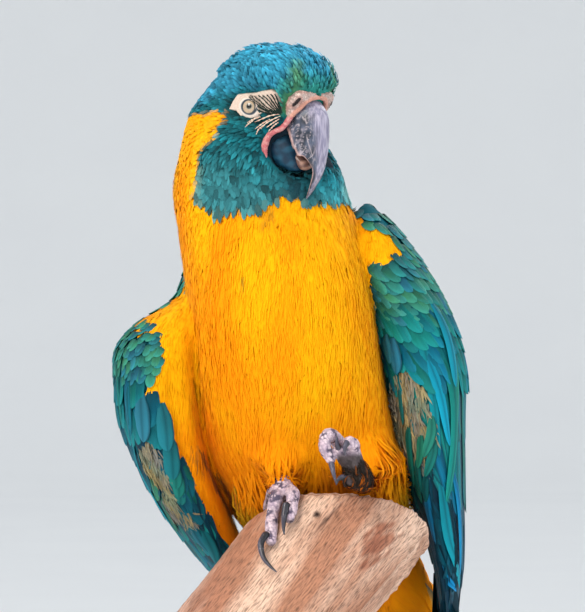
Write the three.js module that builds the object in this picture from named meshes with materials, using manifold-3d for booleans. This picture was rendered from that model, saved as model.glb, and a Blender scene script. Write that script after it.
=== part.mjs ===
// A life-size standing model of a blue-throated macaw (Ara glaucogularis) on a short length of branch.
// Millimetres, +Z up. The bird's breast faces -Y, its left wing is on +X.
// The origin is the centre of the underside of the display stand's base.
import * as THREE from 'three';
import { mergeVertices } from 'three/addons/utils/BufferGeometryUtils.js';
import Module from 'manifold-3d';

const wasm = await Module();
wasm.setup();

// ---- Driving dimensions -------------------------------------------------------------------

const GAP = 0.65;                   // clear space kept between neighbouring solids
const SMOOTHING = 0.28;              // facets that differ by less than this are merged
const BASE_RADIUS = 150;
const BASE_THICK = 18;
const ROD_RADIUS = 7;

const HEAD = {
  centre: [-19, -8, 642],
  turn: 48,                         // degrees towards the bird's left
  nod: 18,                          // degrees bill-down
};
const EYE_RADIUS = 7.2;
const EYE = { forward: 14.4, side: 23.4, up: 2.6 };

const LOG = {
  top: [32, -0.6, 377.8],           // where the axis leaves the worn end
  axis: [0.568, 0.454, 0.687],
  radius: 48,
  length: 172,
};

const TAIL = {
  root: [33, 66, 398],
  axis: [0.389, 0.375, -0.841],
  length: 418,
  pairs: 6,
  vane: 13,                         // half-width of a tail feather
  thick: 0.55,                      // half-thickness of a tail feather
  layer: 1.5,                       // distance from one feather to the next in the stack
};

// Horizontal sections down the body: x, y, z of the centre, half-width, half-depth.
const BODY = [
  [-17, 0, 666, 14, 14],
  [-24, 6, 652, 28, 27],
  [-28, 9, 635, 37.5, 35],
  [-24, 9, 613, 47.5, 43],
  [-21, 13, 588, 55, 47],
  [-15, 9, 561, 57.5, 53],
  [-8, 5, 520, 59, 58],
  [-2, 10, 472, 60, 58],
  [6, 24, 424, 61, 53],
  [13, 42, 392, 55, 42],
  [19, 58, 364, 42, 30],
  [24, 68, 344, 26, 20],
];
const NECK_CUT = 618;               // height of the cut between head and neck, at the nape
const CHEST_CUT = 572;              // height of the cut between neck and trunk

const FLANK = [
  [-66, 4, 516, 12, 16],
  [-71, 4, 488, 14, 24],
  [-70, 8, 452, 14, 28],
  [-61, 18, 414, 13, 28],
  [-51, 30, 384, 15, 26],
  [-40, 40, 352, 14, 20],
];

const WING_RIGHT = [
  [-44, 34, 560, 12, 14],
  [-49, 32, 540, 20, 24],
  [-54, 28, 521, 23, 32],
  [-70, 20, 505, 30, 36],
  [-82, 16, 489, 30.5, 42],
  [-86, 16, 468, 27, 45],
  [-85, 20, 445, 25.5, 48],
  [-77, 28, 418, 23, 49],
  [-65, 38, 392, 22, 47],
  [-49, 50, 367, 21, 42],
  [-30, 66, 342, 19, 34],
  [-12, 84, 316, 15, 24],
];
const WING_LEFT = [
  [46, 26, 580, 12, 18],
  [50, 24, 562, 20, 32],
  [57, 28, 541, 28, 42],
  [72, 33, 511, 29, 48],
  [81, 36, 478, 29, 52],
  [85, 40, 440, 25, 52],
  [90, 46, 400, 20, 47],
  [97, 52, 362, 13, 41],
  [98.5, 58, 328, 9, 32],
  [98, 64, 300, 6, 22],
];
const WING_CUT = { right: 424, left: 444 };  // height of the cut between coverts and flight feathers

// ---- Vectors and frames -------------------------------------------------------------------

const vec = (p) => new THREE.Vector3(p[0], p[1], p[2]);
const LOG_AXIS = vec(LOG.axis).normalize();
const TAIL_AXIS = vec(TAIL.axis).normalize();

function headFrame() {
  const turn = THREE.MathUtils.degToRad(HEAD.turn);
  const nod = THREE.MathUtils.degToRad(HEAD.nod);
  const forward = vec([Math.sin(turn) * Math.cos(nod), -Math.cos(turn) * Math.cos(nod), -Math.sin(nod)]);
  const side = vec([-Math.cos(turn), -Math.sin(turn), 0]);
  return { forward, side, up: new THREE.Vector3().crossVectors(side, forward) };
}
const FACE = headFrame();

// A point of the head: millimetres forward, towards the bird's right, and up from its centre.
function onHead(forward, side, up) {
  return vec(HEAD.centre)
    .addScaledVector(FACE.forward, forward)
    .addScaledVector(FACE.side, side)
    .addScaledVector(FACE.up, up);
}

// ---- Solids -------------------------------------------------------------------------------

// The same closed surface with one vertex where several met. It is done before a shape is placed.
function welded(geometry) {
  geometry.deleteAttribute('normal');
  geometry.deleteAttribute('uv');
  return mergeVertices(geometry, 1e-5);
}

function toSolid(geometry) {
  const solid = new wasm.Manifold(new wasm.Mesh({
    numProp: 3,
    vertProperties: geometry.attributes.position.array,
    triVerts: Uint32Array.from(geometry.index.array),
  }));
  if (solid.isEmpty()) {
    throw new Error('a shape is not closed');
  }
  return solid;
}

function toGeometry(solid) {
  const mesh = solid.getMesh();
  const geometry = new THREE.BufferGeometry();
  geometry.setAttribute('position', new THREE.BufferAttribute(mesh.vertProperties, 3));
  geometry.setIndex(new THREE.BufferAttribute(mesh.triVerts, 1));
  geometry.computeVertexNormals();
  return geometry;
}

// Signed volume of a closed geometry; negative where its faces point inwards.
function signedVolume(geometry) {
  const point = geometry.attributes.position;
  const corner = [new THREE.Vector3(), new THREE.Vector3(), new THREE.Vector3()];
  let volume = 0;
  for (let i = 0; i < geometry.index.count; i += 3) {
    corner.forEach((c, k) => c.fromBufferAttribute(point, geometry.index.getX(i + k)));
    volume += corner[0].dot(corner[1].cross(corner[2])) / 6;
  }
  return volume;
}

function facingOut(geometry) {
  if (signedVolume(geometry) < 0) {
    const index = geometry.index;
    for (let i = 0; i < index.count; i += 3) {
      const swap = index.getX(i);
      index.setX(i, index.getX(i + 1));
      index.setX(i + 1, swap);
    }
  }
  return geometry;
}

// A closed form: the parallels of a sphere laid on sections that run from t = 0 to t = 1.
// section(t) gives the centre c and the two half-axes a and b; the ends are rounded over a
// length `cap` of t, and `pinch` narrows the half of each section on the side of -b.
function form(section, { around = 14, rows = 10, cap = 0.12, capEnd = cap, pinch = 0 } = {}) {
  const geometry = welded(new THREE.SphereGeometry(1, around, rows));
  const point = geometry.attributes.position;
  for (let i = 0; i < point.count; i += 1) {
    const t = Math.acos(THREE.MathUtils.clamp(point.getY(i), -1, 1)) / Math.PI;
    const angle = Math.atan2(point.getZ(i), point.getX(i));
    const fromStart = t < cap ? Math.sqrt(1 - (1 - t / cap) ** 2) : 1;
    const toEnd = 1 - t < capEnd ? Math.sqrt(1 - (1 - (1 - t) / capEnd) ** 2) : 1;
    const round = fromStart * toEnd;
    const { c, a, b } = section(t);
    const across = Math.cos(angle) * (1 + pinch * Math.sin(angle));
    const place = c.clone().addScaledVector(a, across * round).addScaledVector(b, Math.sin(angle) * round);
    point.setXYZ(i, place.x, place.y, place.z);
  }
  return toSolid(facingOut(geometry));
}

function lengthened(direction, half, grow) {
  return direction.clone().normalize().multiplyScalar(half + grow);
}

// Sections that lie level, from stations [x, y, z, half-width, half-depth].
function levelSections(stations, grow = 0) {
  const spine = new THREE.CatmullRomCurve3(stations.map(vec));
  const halves = new THREE.CatmullRomCurve3(stations.map((s) => vec([s[3], s[4], 0])));
  return (t) => {
    const half = halves.getPoint(t);
    const end = t < 0.01 ? -grow : (t > 0.99 ? grow : 0);
    const c = spine.getPoint(t).addScaledVector(spine.getTangent(t), end);
    return { c, a: vec([half.x + grow, 0, 0]), b: vec([0, half.y + grow, 0]) };
  };
}

// Sections square to their spine, from stations [x, y, z, half-width, half-thickness]; the
// width runs along `wide`.
function squareSections(stations, wide, grow = 0) {
  const spine = new THREE.CatmullRomCurve3(stations.map(vec));
  const halves = new THREE.CatmullRomCurve3(stations.map((s) => vec([s[3], s[4], 0])));
  return (t) => {
    const along = spine.getTangent(t);
    const half = halves.getPoint(t);
    const a = wide.clone().addScaledVector(along, -wide.dot(along));
    const b = new THREE.Vector3().crossVectors(along, a);
    const end = t < 0.01 ? -grow : (t > 0.99 ? grow : 0);
    return {
      c: spine.getPoint(t).addScaledVector(along, end),
      a: lengthened(a, half.x, grow),
      b: lengthened(b, half.y, grow),
    };
  };
}

function ellipsoid(centre, halves, frame, grow = 0, around = 14, rows = 9) {
  const geometry = welded(new THREE.SphereGeometry(1, around, rows));
  const axes = new THREE.Matrix4().makeBasis(
    frame.forward.clone().multiplyScalar(halves[0] + grow),
    frame.side.clone().multiplyScalar(halves[1] + grow),
    frame.up.clone().multiplyScalar(halves[2] + grow),
  );
  geometry.applyMatrix4(axes);
  geometry.translate(centre.x, centre.y, centre.z);
  return toSolid(facingOut(geometry));
}

// Everything above (keep = 1) or below (keep = -1) a height.
function keptSide(solid, height, keep) {
  const offset = keep * (height + keep * GAP / 2);
  return solid.trimByPlane([0, 0, keep], offset);
}

function largestPiece(solid) {
  return solid.decompose().sort((p, q) => q.volume() - p.volume())[0];
}

// ---- Parts list ---------------------------------------------------------------------------

const macaw = new THREE.Group();

function add(name, solid, color, roughness = 0.75, metalness = 0) {
  const material = new THREE.MeshStandardMaterial({ color, roughness, metalness });
  const mesh = new THREE.Mesh(toGeometry(largestPiece(solid.simplify(SMOOTHING))), material);
  mesh.name = name;
  macaw.add(mesh);
}

// ---- Head, neck and trunk -----------------------------------------------------------------

const WORLD = { forward: vec([0, -1, 0]), side: vec([-1, 0, 0]), up: vec([0, 0, 1]) };

function skull(grow = 0) {
  const crown = ellipsoid(onHead(5, 0, 0.5), [40, 31, 36.5], FACE, grow, 16, 10);
  const forehead = ellipsoid(onHead(21, 0, 20), [25, 31, 21.5], FACE, grow);
  const cheeks = ellipsoid(onHead(1, 0, -26), [31, 34.5, 32], FACE, grow);
  return crown.add(forehead).add(cheeks);
}

function torso(grow = 0) {
  return form(levelSections(BODY, grow), { around: 18, rows: 15, cap: 0.08, capEnd: 0.14 });
}

// The bib: the full throat that stands out in front of the neck.
function bib(grow = 0) {
  return ellipsoid(vec([-12, -6, 592]), [32, 44, 30], WORLD, grow);
}

function thigh(side, grow = 0) {
  const stations = side === 'left'
    ? [[40, 10, 442, 21, 22], [42, -8, 424, 20, 20], [46, -24, 410, 12, 12]]
    : [[-6, 10, 446, 22, 24], [-6, -10, 428, 22, 20], [-7, -26, 411, 12, 11]];
  const sections = squareSections(stations, vec([1, 0, 0]), grow);
  return form(sections, { around: 10, rows: 7, cap: 0.35, capEnd: 0.3 });
}

const wholeBody = torso().add(skull()).add(bib());
const grownBody = torso(GAP).add(skull(GAP)).add(bib(GAP));

// ---- Bill ---------------------------------------------------------------------------------

// Profile points of the head: forward, up.
const CULMEN = [
  [36, 14.5], [44.5, 13], [52.3, 7.2], [56.6, -3], [59.3, -15], [60, -28], [57, -39], [54, -46],
];
const TOMIUM = [
  [30, -2], [36, -6], [40.4, -12], [45.5, -19.5], [51, -20], [57.2, -26.4], [56.2, -37], [53.4, -45.2],
];
const BILL_HALF_WIDTH = [13.5, 13.7, 12.9, 11.2, 8.8, 5.4, 3.1, 0.8];

function maxilla(grow = 0) {
  const ridge = new THREE.CatmullRomCurve3(CULMEN.map((p) => onHead(p[0], 0, p[1])));
  const edge = new THREE.CatmullRomCurve3(TOMIUM.map((p) => onHead(p[0], 0, p[1])));
  const widths = new THREE.CatmullRomCurve3(BILL_HALF_WIDTH.map((w) => vec([w, 0, 0])));
  const section = (t) => {
    const high = ridge.getPoint(t);
    const low = edge.getPoint(t);
    const b = high.clone().sub(low).multiplyScalar(0.5);
    return {
      c: high.clone().add(low).multiplyScalar(0.5),
      a: lengthened(FACE.side, widths.getPoint(t).x, grow),
      b: lengthened(b, b.length(), grow),
    };
  };
  return form(section, { around: 14, rows: 12, cap: 0.04, capEnd: 0.05, pinch: -0.22 });
}

function mandible(grow = 0) {
  const stations = [
    [19, 0, -17, 13, 12], [26, 0, -19.8, 14.8, 14], [33, 0, -23.6, 13.2, 12.2], [39, 0, -26.8, 10.6, 8.6],
  ];
  const placed = stations.map((s) => [...onHead(s[0], s[1], s[2]).toArray(), s[3], s[4]]);
  placed.push([...onHead(45, 0, -27.6).toArray(), 6.4, 3.4]);
  return form(squareSections(placed, FACE.side, grow), { around: 12, rows: 9, cap: 0.3, capEnd: 0.16 });
}

function tongue() {
  const stations = [[38, 0, -21.6, 6, 3.6], [43, 0, -24, 6.6, 4], [49, 0, -27.6, 4, 2.6]];
  const placed = stations.map((s) => [...onHead(s[0], s[1], s[2]).toArray(), s[3], s[4]]);
  return form(squareSections(placed, FACE.side), { around: 8, rows: 6, cap: 0.3 });
}

// The cere: the bare band over the root of the upper bill.
function cere(grow = 0) {
  const stations = [
    [39.5, 16, -1, 4, 3], [41, 14, 8, 4.5, 3.2], [43, 8, 15, 4.6, 3.2], [43.5, 0, 17, 4.2, 3],
  ];
  const right = stations.map((s) => [...onHead(s[0], s[1], s[2]).toArray(), s[3], s[4]]);
  const left = stations.slice(0, 3).reverse()
    .map((s) => [...onHead(s[0], -s[1], s[2]).toArray(), s[3], s[4]]);
  return form(squareSections([...right, ...left], FACE.forward, grow), { around: 6, rows: 12, cap: 0.1 });
}

function eye(side, grow = 0) {
  const centre = onHead(EYE.forward, side * EYE.side, EYE.up);
  const round = EYE_RADIUS + grow;
  return ellipsoid(centre, [round, round, round], FACE, 0, 10, 7);
}

// ---- Branch -------------------------------------------------------------------------------

function logCore(grow = 0) {
  const radius = LOG.radius + grow;
  const geometry = welded(new THREE.CylinderGeometry(radius, radius, LOG.length + 80, 24, 5));
  const turn = new THREE.Quaternion().setFromUnitVectors(vec([0, 1, 0]), LOG_AXIS);
  geometry.translate(0, 40 - LOG.length / 2, 0);
  const point = geometry.attributes.position;
  for (let i = 0; i < point.count; i += 1) {
    const angle = Math.atan2(point.getZ(i), point.getX(i));
    const swell = 1 + 0.025 * Math.sin(3 * angle + 0.8) + 0.02 * Math.sin(point.getY(i) / 34 + 1);
    point.setXYZ(i, point.getX(i) * swell, point.getY(i), point.getZ(i) * swell);
  }
  geometry.applyQuaternion(turn);
  geometry.translate(...LOG.top);
  return toSolid(geometry);
}

// The end is worn to a slope that falls away behind the rim, with its edge rubbed round.
function branch(grow = 0) {
  const wear = [
    [0.14, 0.7, 0.7, 0], [0.06, 0.25, 0.966, 14], [0.35, 0.3, 0.89, 19.5], [-0.3, 0.35, 0.89, 20],
  ];
  let solid = logCore(grow);
  wear.forEach(([x, y, z, offset]) => {
    const out = vec([x, y, z]).normalize();
    const limit = out.dot(vec(LOG.top)) + offset + grow;
    solid = solid.trimByPlane([-out.x, -out.y, -out.z], -limit);
  });
  return solid;
}

// ---- Feet ---------------------------------------------------------------------------------

const TOE = { root: 4.8, tip: 3.5 };

function toe(points, grow = 0) {
  const last = points.length - 1;
  const stations = points.map((p, i) => {
    const radius = TOE.root + (TOE.tip - TOE.root) * i / last;
    return [...p, radius, radius * 0.92];
  });
  return form(squareSections(stations, vec([0.8, 0.2, 0.56]), grow), { around: 6, rows: 6, cap: 0.16 });
}

function claw(points, root = 2.7) {
  const last = points.length - 1;
  const stations = points.map((p, i) => {
    const radius = root * (1 - 0.82 * i / last);
    return [...p, radius, radius];
  });
  return form(squareSections(stations, vec([0.8, 0.2, 0.56])), { around: 6, rows: 8, cap: 0.1, capEnd: 0.1 });
}

const RIGHT_TOES = [
  [[-8, -34, 403], [-10, -42, 398.5], [-12.6, -48, 386.5], [-13, -61.5, 373.5]],
  [[-3, -34, 403], [0, -43, 401.5], [-0.4, -50.5, 394.5], [-1.8, -54.5, 387]],
  [[-9, -29, 402.5], [-11.5, -19, 400.8], [-13.5, -9.5, 395.3], [-15, -1, 388.8]],
  [[-4, -29, 404.5], [-4, -18, 402.5], [-4, -7, 396], [-4, 0, 389.5]],
];
const RIGHT_CLAWS = [
  [[-15, -60, 378.5], [-19, -66, 372], [-17.8, -70.5, 363], [-13.5, -75.5, 357.5], [-9.2, -79, 353.5]],
  [[-3.4, -54, 397], [-5, -58, 388.5], [-5.4, -59.5, 382], [-5, -61.5, 377]],
  [[-15.5, 1, 388], [-16, 6, 383.8], [-17, 10, 378.6], [-17.5, 12.5, 373]],
  [[-4, 2, 388.5], [-4, 8, 384.5], [-5, 12, 379.5], [-5, 14, 374]],
];
const LEFT_TOES = [
  [[30, -52, 430], [24.5, -62, 437], [20.4, -68, 436.5], [19.6, -71, 430.5], [23, -71, 423.5]],
  [[37, -56, 424], [36.5, -64, 431], [34.8, -71, 433.3], [33.8, -75, 433]],
  [[38, -57, 420], [33, -63, 422], [29.5, -66.5, 425.5], [28, -68.5, 429]],
  [[41, -54, 415], [38.5, -60, 411.5], [36, -63, 410.5], [33.5, -63.5, 411]],
];
const LEFT_CLAWS = [
  [[23.4, -72, 421.5], [24.4, -74.4, 416.5], [25.6, -74.4, 412], [26.6, -72.5, 408]],
  [[33, -78, 434], [31.8, -80.2, 431.6], [31.4, -80.4, 428.6], [31.8, -79.2, 426]],
  [[27.8, -69.5, 430], [27, -72.5, 432.5], [26.7, -73.8, 435], [26.6, -73.5, 437.8]],
  [[32.5, -64, 411], [30, -66, 412.2], [27.8, -67, 411], [26.4, -67.5, 407.5]],
];

function shank(side, grow = 0) {
  const stations = side === 'left'
    ? [[45, -38, 404, 7.5, 7.5], [40.5, -50, 410, 7.8, 7.5], [37.5, -57, 419, 6.8, 6.5]]
    : [[-6, -20, 419, 7, 7], [-6, -27, 412, 6.5, 6.5], [-6, -32, 406.5, 6.5, 6]];
  return form(squareSections(stations, vec([0.8, 0.2, 0.56]), grow), { around: 8, rows: 5, cap: 0.25 });
}

function foot(side, grow = 0) {
  const toes = side === 'left' ? LEFT_TOES : RIGHT_TOES;
  const palm = side === 'left'
    ? ellipsoid(vec([37, -59, 422]), [7, 7.5, 8.5], WORLD, grow, 9, 6)
    : ellipsoid(vec([-6, -33, 402.5]), [7.5, 8, 5], WORLD, grow, 9, 6);
  return toes.reduce((sum, points) => sum.add(toe(points, grow)), palm);
}

// ---- Wings --------------------------------------------------------------------------------

function wing(stations, grow = 0) {
  return form(levelSections(stations, grow), { around: 16, rows: 13, cap: 0.12, capEnd: 0.2 });
}

function flank(grow = 0) {
  return form(levelSections(FLANK, grow), { around: 12, rows: 10, cap: 0.2, capEnd: 0.3 });
}

// One long flight feather: a flat leaf from root to tip, its width along `wide`.
function vane(root, tip, wide, half, thick, bow = [0, 0, 0]) {
  const station = (t, width) => {
    const middle = root.clone().lerp(tip, t).addScaledVector(vec(bow), 4 * t * (1 - t));
    return [...middle.toArray(), half * width, thick];
  };
  const stations = [station(0, 0.7), station(0.3, 1), station(0.62, 1), station(0.86, 0.8), station(1, 0.35)];
  return form(squareSections(stations, wide), { around: 6, rows: 9, cap: 0.06, capEnd: 0.16 });
}

function primaries(side, cutters) {
  const count = 5;
  for (let i = 0; i < count; i += 1) {
    const k = i / (count - 1);
    const left = side === 'left';
    const root = left
      ? vec([91 + 13 * k, 78 - 34 * k, 322 + 8 * k])
      : vec([-18 - 22 * k, 92 - 30 * k, 336 + 4 * k]);
    const tip = left
      ? vec([92 + 13 * k, 98 - 18 * k, 222 + 52 * k])
      : vec([46 - 26 * k, 146 - 16 * k, 232 + 40 * k]);
    const wide = left ? vec([0.25 - 0.2 * k, 1, 0.15]) : vec([-0.75, 0.66, -0.2]);
    let solid = vane(root, tip, wide, 9.5, 1);
    cutters.forEach((cutter) => {
      solid = solid.subtract(cutter);
    });
    add(`primary_${side}_${i + 1}`, solid, 0x0b5f78, 0.5);
    cutters.push(vane(root, tip, wide, 9.5 + GAP, 1 + GAP));
  }
}

// ---- Tail ---------------------------------------------------------------------------------

function tailSide() {
  return new THREE.Vector3().crossVectors(TAIL_AXIS, vec([0, 1, 0])).normalize().negate();
}

function tailCoverts(grow = 0) {
  const widths = [[-34, 24, 20], [10, 27, 20], [60, 27, 16], [100, 25, 12], [124, 20, 9]];
  const stations = widths.map(([along, w, d]) => {
    const centre = vec(TAIL.root).addScaledVector(TAIL_AXIS, along);
    return [...centre.toArray(), w, d];
  });
  return form(squareSections(stations, tailSide(), grow), { around: 12, rows: 9, cap: 0.2, capEnd: 0.12 });
}

// Twelve feathers in a stack: the outermost lie underneath and are the shortest.
function tailFeathers() {
  const side = tailSide();
  const under = new THREE.Vector3().crossVectors(TAIL_AXIS, side).normalize();
  const facing = under.y < 0 ? under : under.negate();
  const covert = tailCoverts(GAP);
  for (let pair = 0; pair < TAIL.pairs; pair += 1) {
    const out = pair / (TAIL.pairs - 1);
    const reach = TAIL.length * (1 - 0.5 * out ** 1.15);
    [-1, 1].forEach((hand) => {
      const level = (2 * pair + (hand > 0 ? 0.5 : -0.5) - TAIL.pairs + 1) * TAIL.layer;
      const root = vec(TAIL.root)
        .addScaledVector(TAIL_AXIS, 96)
        .addScaledVector(facing, level)
        .addScaledVector(side, hand * (3 + 11 * out));
      const tip = vec(TAIL.root)
        .addScaledVector(TAIL_AXIS, reach)
        .addScaledVector(facing, level)
        .addScaledVector(side, hand * (3.5 + 15 * out));
      const name = `tail_feather_${hand > 0 ? 'right' : 'left'}_${pair + 1}`;
      add(name, vane(root, tip, side, TAIL.vane, TAIL.thick).subtract(covert), 0xc9791c, 0.5);
    });
  }
}

// ---- Stand --------------------------------------------------------------------------------

function standBase() {
  const chamfer = 2;
  const profile = [
    [0, 0],
    [BASE_RADIUS - chamfer, 0],
    [BASE_RADIUS, chamfer],
    [BASE_RADIUS, BASE_THICK - chamfer],
    [BASE_RADIUS - chamfer, BASE_THICK],
    [0, BASE_THICK],
  ].map((p) => new THREE.Vector2(p[0], p[1]));
  const geometry = welded(new THREE.LatheGeometry(profile, 36));
  geometry.rotateX(Math.PI / 2);
  return toSolid(facingOut(geometry));
}

function standRod() {
  const foot = vec(LOG.top).addScaledVector(LOG_AXIS, -LOG.length * 0.52);
  const height = foot.z - BASE_THICK - GAP;
  const geometry = welded(new THREE.CylinderGeometry(ROD_RADIUS, ROD_RADIUS, height, 20));
  geometry.rotateX(Math.PI / 2);
  geometry.translate(foot.x, foot.y, BASE_THICK + GAP + height / 2);
  return toSolid(geometry);
}

// ---- Assembly -----------------------------------------------------------------------------

const cutLog = branch(GAP);
const cutEyes = eye(1, GAP).add(eye(-1, GAP));
const cutBill = maxilla(GAP).add(mandible(GAP)).add(cere(GAP));
const cutThighs = thigh('left', GAP).add(thigh('right', GAP));
const cutTail = tailCoverts(GAP);

const flesh = wholeBody.subtract(cutEyes).subtract(cutBill).subtract(cutThighs).subtract(cutLog);
add('head', keptSide(flesh, NECK_CUT, 1), 0x2f8fae);
add('neck', keptSide(keptSide(flesh, NECK_CUT, -1), CHEST_CUT, 1), 0x1f6f7a);
const trunk = keptSide(flesh, CHEST_CUT, -1);
add('trunk', trunk, 0xffa40a);

add('eye_right', eye(1), 0xd8cfa8, 0.15);
add('eye_left', eye(-1), 0xd8cfa8, 0.15);
add('bill_upper', maxilla(), 0x3d4150, 0.4);
add('bill_lower', mandible().subtract(maxilla(GAP)), 0x23262e, 0.4);
add('tongue', tongue().subtract(maxilla(GAP)).subtract(mandible(GAP)).subtract(grownBody), 0xb87f74, 0.5);
add('cere', cere().subtract(maxilla(GAP)), 0xc8a3a0, 0.6);

add('perch_log', branch(), 0xd9a878, 0.8);
add('thigh_right', thigh('right').subtract(cutLog), 0xffa40a);
add('thigh_left', thigh('left').subtract(cutLog), 0xffa40a);
['right', 'left'].forEach((side) => {
  const claws = side === 'left' ? LEFT_CLAWS : RIGHT_CLAWS;
  const cutFoot = foot(side, GAP);
  const leg = shank(side).subtract(grownBody).subtract(cutThighs).subtract(cutLog).subtract(cutFoot);
  const grip = foot(side).subtract(cutLog).subtract(grownBody).subtract(cutThighs);
  add(`shank_${side}`, leg, 0x6a5c6c, 0.7);
  add(`foot_${side}`, grip, 0xb9a4ad, 0.7);
  claws.forEach((points, i) => {
    const nail = claw(points).subtract(cutFoot).subtract(cutLog).subtract(grownBody);
    add(`claw_${side}_${i + 1}`, nail, 0x30343f, 0.35);
  });
});

add('flank_right', flank().subtract(grownBody).subtract(cutLog), 0xffa40a);
const inRight = flank(GAP);
const rightWing = wing(WING_RIGHT).subtract(grownBody).subtract(inRight).subtract(cutLog).subtract(cutTail);
add('wing_right_coverts', keptSide(rightWing, WING_CUT.right, 1), 0x3c8a78, 0.6);
add('wing_right_flight', keptSide(rightWing, WING_CUT.right, -1), 0x0f7f97, 0.5);
primaries('right', [wing(WING_RIGHT, 2 * GAP), grownBody, cutTail]);

const leftWing = wing(WING_LEFT).subtract(grownBody).subtract(cutLog).subtract(cutTail).subtract(cutThighs);
add('wing_left_coverts', keptSide(leftWing, WING_CUT.left, 1), 0x3c8a78, 0.6);
add('wing_left_flight', keptSide(leftWing, WING_CUT.left, -1), 0x0f9bb5, 0.5);
primaries('left', [wing(WING_LEFT, 2 * GAP)]);

add('tail_coverts', tailCoverts().subtract(grownBody).subtract(cutLog), 0xe59a1e);
tailFeathers();

add('stand_base', standBase(), 0x5b4636, 0.5);
add('stand_rod', standRod().subtract(cutLog), 0x8a8d90, 0.35, 1);

export default macaw;
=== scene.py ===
"""A life-size still model of a blue-throated macaw (Ara glaucogularis) that grips a short log on a stand.

One skin, netted from a smooth union of lofts and ellipsoids, stands for the flesh. Every feather is a solid
vane that is rooted in that skin, settled onto it and turned along the lie of its tract. Lengths are in
millimetres until a mesh is written, and in metres after that.
"""
import logging
from dataclasses import dataclass, field
from enum import Enum

import bpy
import numpy as np
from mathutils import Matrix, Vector


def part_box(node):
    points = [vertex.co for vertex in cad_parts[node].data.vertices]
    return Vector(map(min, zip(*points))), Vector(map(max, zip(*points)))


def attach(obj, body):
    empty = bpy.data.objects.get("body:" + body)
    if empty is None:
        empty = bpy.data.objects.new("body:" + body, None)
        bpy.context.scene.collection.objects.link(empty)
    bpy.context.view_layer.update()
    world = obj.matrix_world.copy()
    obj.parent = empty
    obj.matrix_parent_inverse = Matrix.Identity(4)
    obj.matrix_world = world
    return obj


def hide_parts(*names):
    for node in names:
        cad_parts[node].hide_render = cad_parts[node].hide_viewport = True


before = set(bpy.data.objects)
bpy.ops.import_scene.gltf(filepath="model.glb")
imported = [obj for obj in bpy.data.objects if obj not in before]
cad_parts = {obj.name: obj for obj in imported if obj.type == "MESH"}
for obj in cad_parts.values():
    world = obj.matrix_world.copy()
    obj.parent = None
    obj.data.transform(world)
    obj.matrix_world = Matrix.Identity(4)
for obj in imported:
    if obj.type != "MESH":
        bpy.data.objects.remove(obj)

Array = np.ndarray
Thing = bpy.types.Object
Tree = bpy.types.NodeTree
Node = bpy.types.Node
Socket = bpy.types.NodeSocket
LOG = logging.getLogger("macaw")
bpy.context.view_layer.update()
MM = 0.001
TURN = 2 * np.pi
STAND_OFF = 3000.0                        # how far in front of the model the camera stands
STATION = np.array([0.0, -STAND_OFF, 516.0])   # the camera's place
UNWRAP_PATCH = 0.003                      # how wide one feather's patch is on the skin's unwrap


class Side(Enum):
    """The bird's own sides; the value is the sign of X."""

    RIGHT = -1
    LEFT = 1

    @property
    def word(self) -> str:
        """Its name as the nodes spell it."""
        return self.name.lower()

    @property
    def island(self) -> int:
        """The number of its wing's island on the skin's unwrap."""
        return 1 if self is Side.RIGHT else 2


# ---- Small maths -------------------------------------------------------------------------------------------


def linear(code: str) -> Array:
    """Turns a colour from sRGB to linear light.

    Args:
        code: The colour as "#rrggbb".

    Returns:
        Its three linear values, each c/12.92 when dark and ((c + 0.055)/1.055)^2.4 otherwise.
    """
    c = np.array([int(code[i:i + 2], 16) for i in (1, 3, 5)]) / 255
    return np.where(c <= 0.04045, c / 12.92, ((c + 0.055) / 1.055) ** 2.4)


def rgba(code: str) -> tuple[float, ...]:
    """The linear colour of a hex code, with an alpha of one."""
    return (*linear(code), 1.0)


def smooth(low: float, high: float, x: Array) -> Array:
    """The smooth step of x, 3t^2 - 2t^3, from nought at low to one at high."""
    t = np.clip((x - low) / (high - low), 0, 1)
    return t * t * (3 - 2 * t)


def mix(a: Array, b: Array, weight: Array) -> Array:
    """The blend a + (b - a) * weight, where weight has one axis fewer than the colours."""
    return a + (b - a) * np.asarray(weight)[..., None]


def bell(x: Array) -> Array:
    """The bell curve exp(-x^2): one at nought, and next to nothing beyond two."""
    return np.exp(-(x**2))


def quarter_round(x: Array) -> Array:
    """The fall of a quarter circle, 1 - sqrt(1 - x^2): nought at nought and one at one."""
    return 1 - np.sqrt(1 - x**2)


def unit(v: Array) -> Array:
    """The vectors scaled to length one."""
    return v / (np.linalg.norm(v, axis=-1, keepdims=True) + 1e-9)


def keyed(keys: Array, t: Array) -> Array:
    """Carries rows of numbers along a uniform Catmull-Rom curve.

    Args:
        keys: One row for each key.
        t: Where to read it, from 0 at the first key to 1 at the last.

    Returns:
        One row for each t: half of 2b + (c-a)w + (2a-5b+4c-d)w^2 + (3b-a-3c+d)w^3 over the four keys
        around it.
    """
    keys = np.asarray(keys, float)
    ends = np.vstack([2 * keys[0] - keys[1], keys, 2 * keys[-1] - keys[-2]])
    s = np.clip(np.asarray(t, float), 0, 1) * (len(keys) - 1)
    i = np.minimum(s.astype(int), len(keys) - 2)
    w = (s - i)[..., None]
    a, b, c, d = ends[i], ends[i + 1], ends[i + 2], ends[i + 3]
    return 0.5 * (2 * b + (c - a) * w + (2 * a - 5 * b + 4 * c - d) * w**2 + (3 * b - a - 3 * c + d) * w**3)


def ripple(points: Array, pitch: float, seed: int) -> Array:
    """A smooth random swell through space.

    Args:
        points: Places, three numbers each.
        pitch: About how far apart the crests are.
        seed: Which swell.

    Returns:
        The mean of seven plane waves in random directions, about -1 to 1.
    """
    rng = np.random.default_rng(seed)
    waves = unit(rng.normal(size=(7, 3))) * TURN / (pitch * rng.uniform(0.7, 1.6, (7, 1)))
    return np.sin(points @ waves.T + rng.uniform(0, TURN, 7)).sum(-1) / 3


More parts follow.
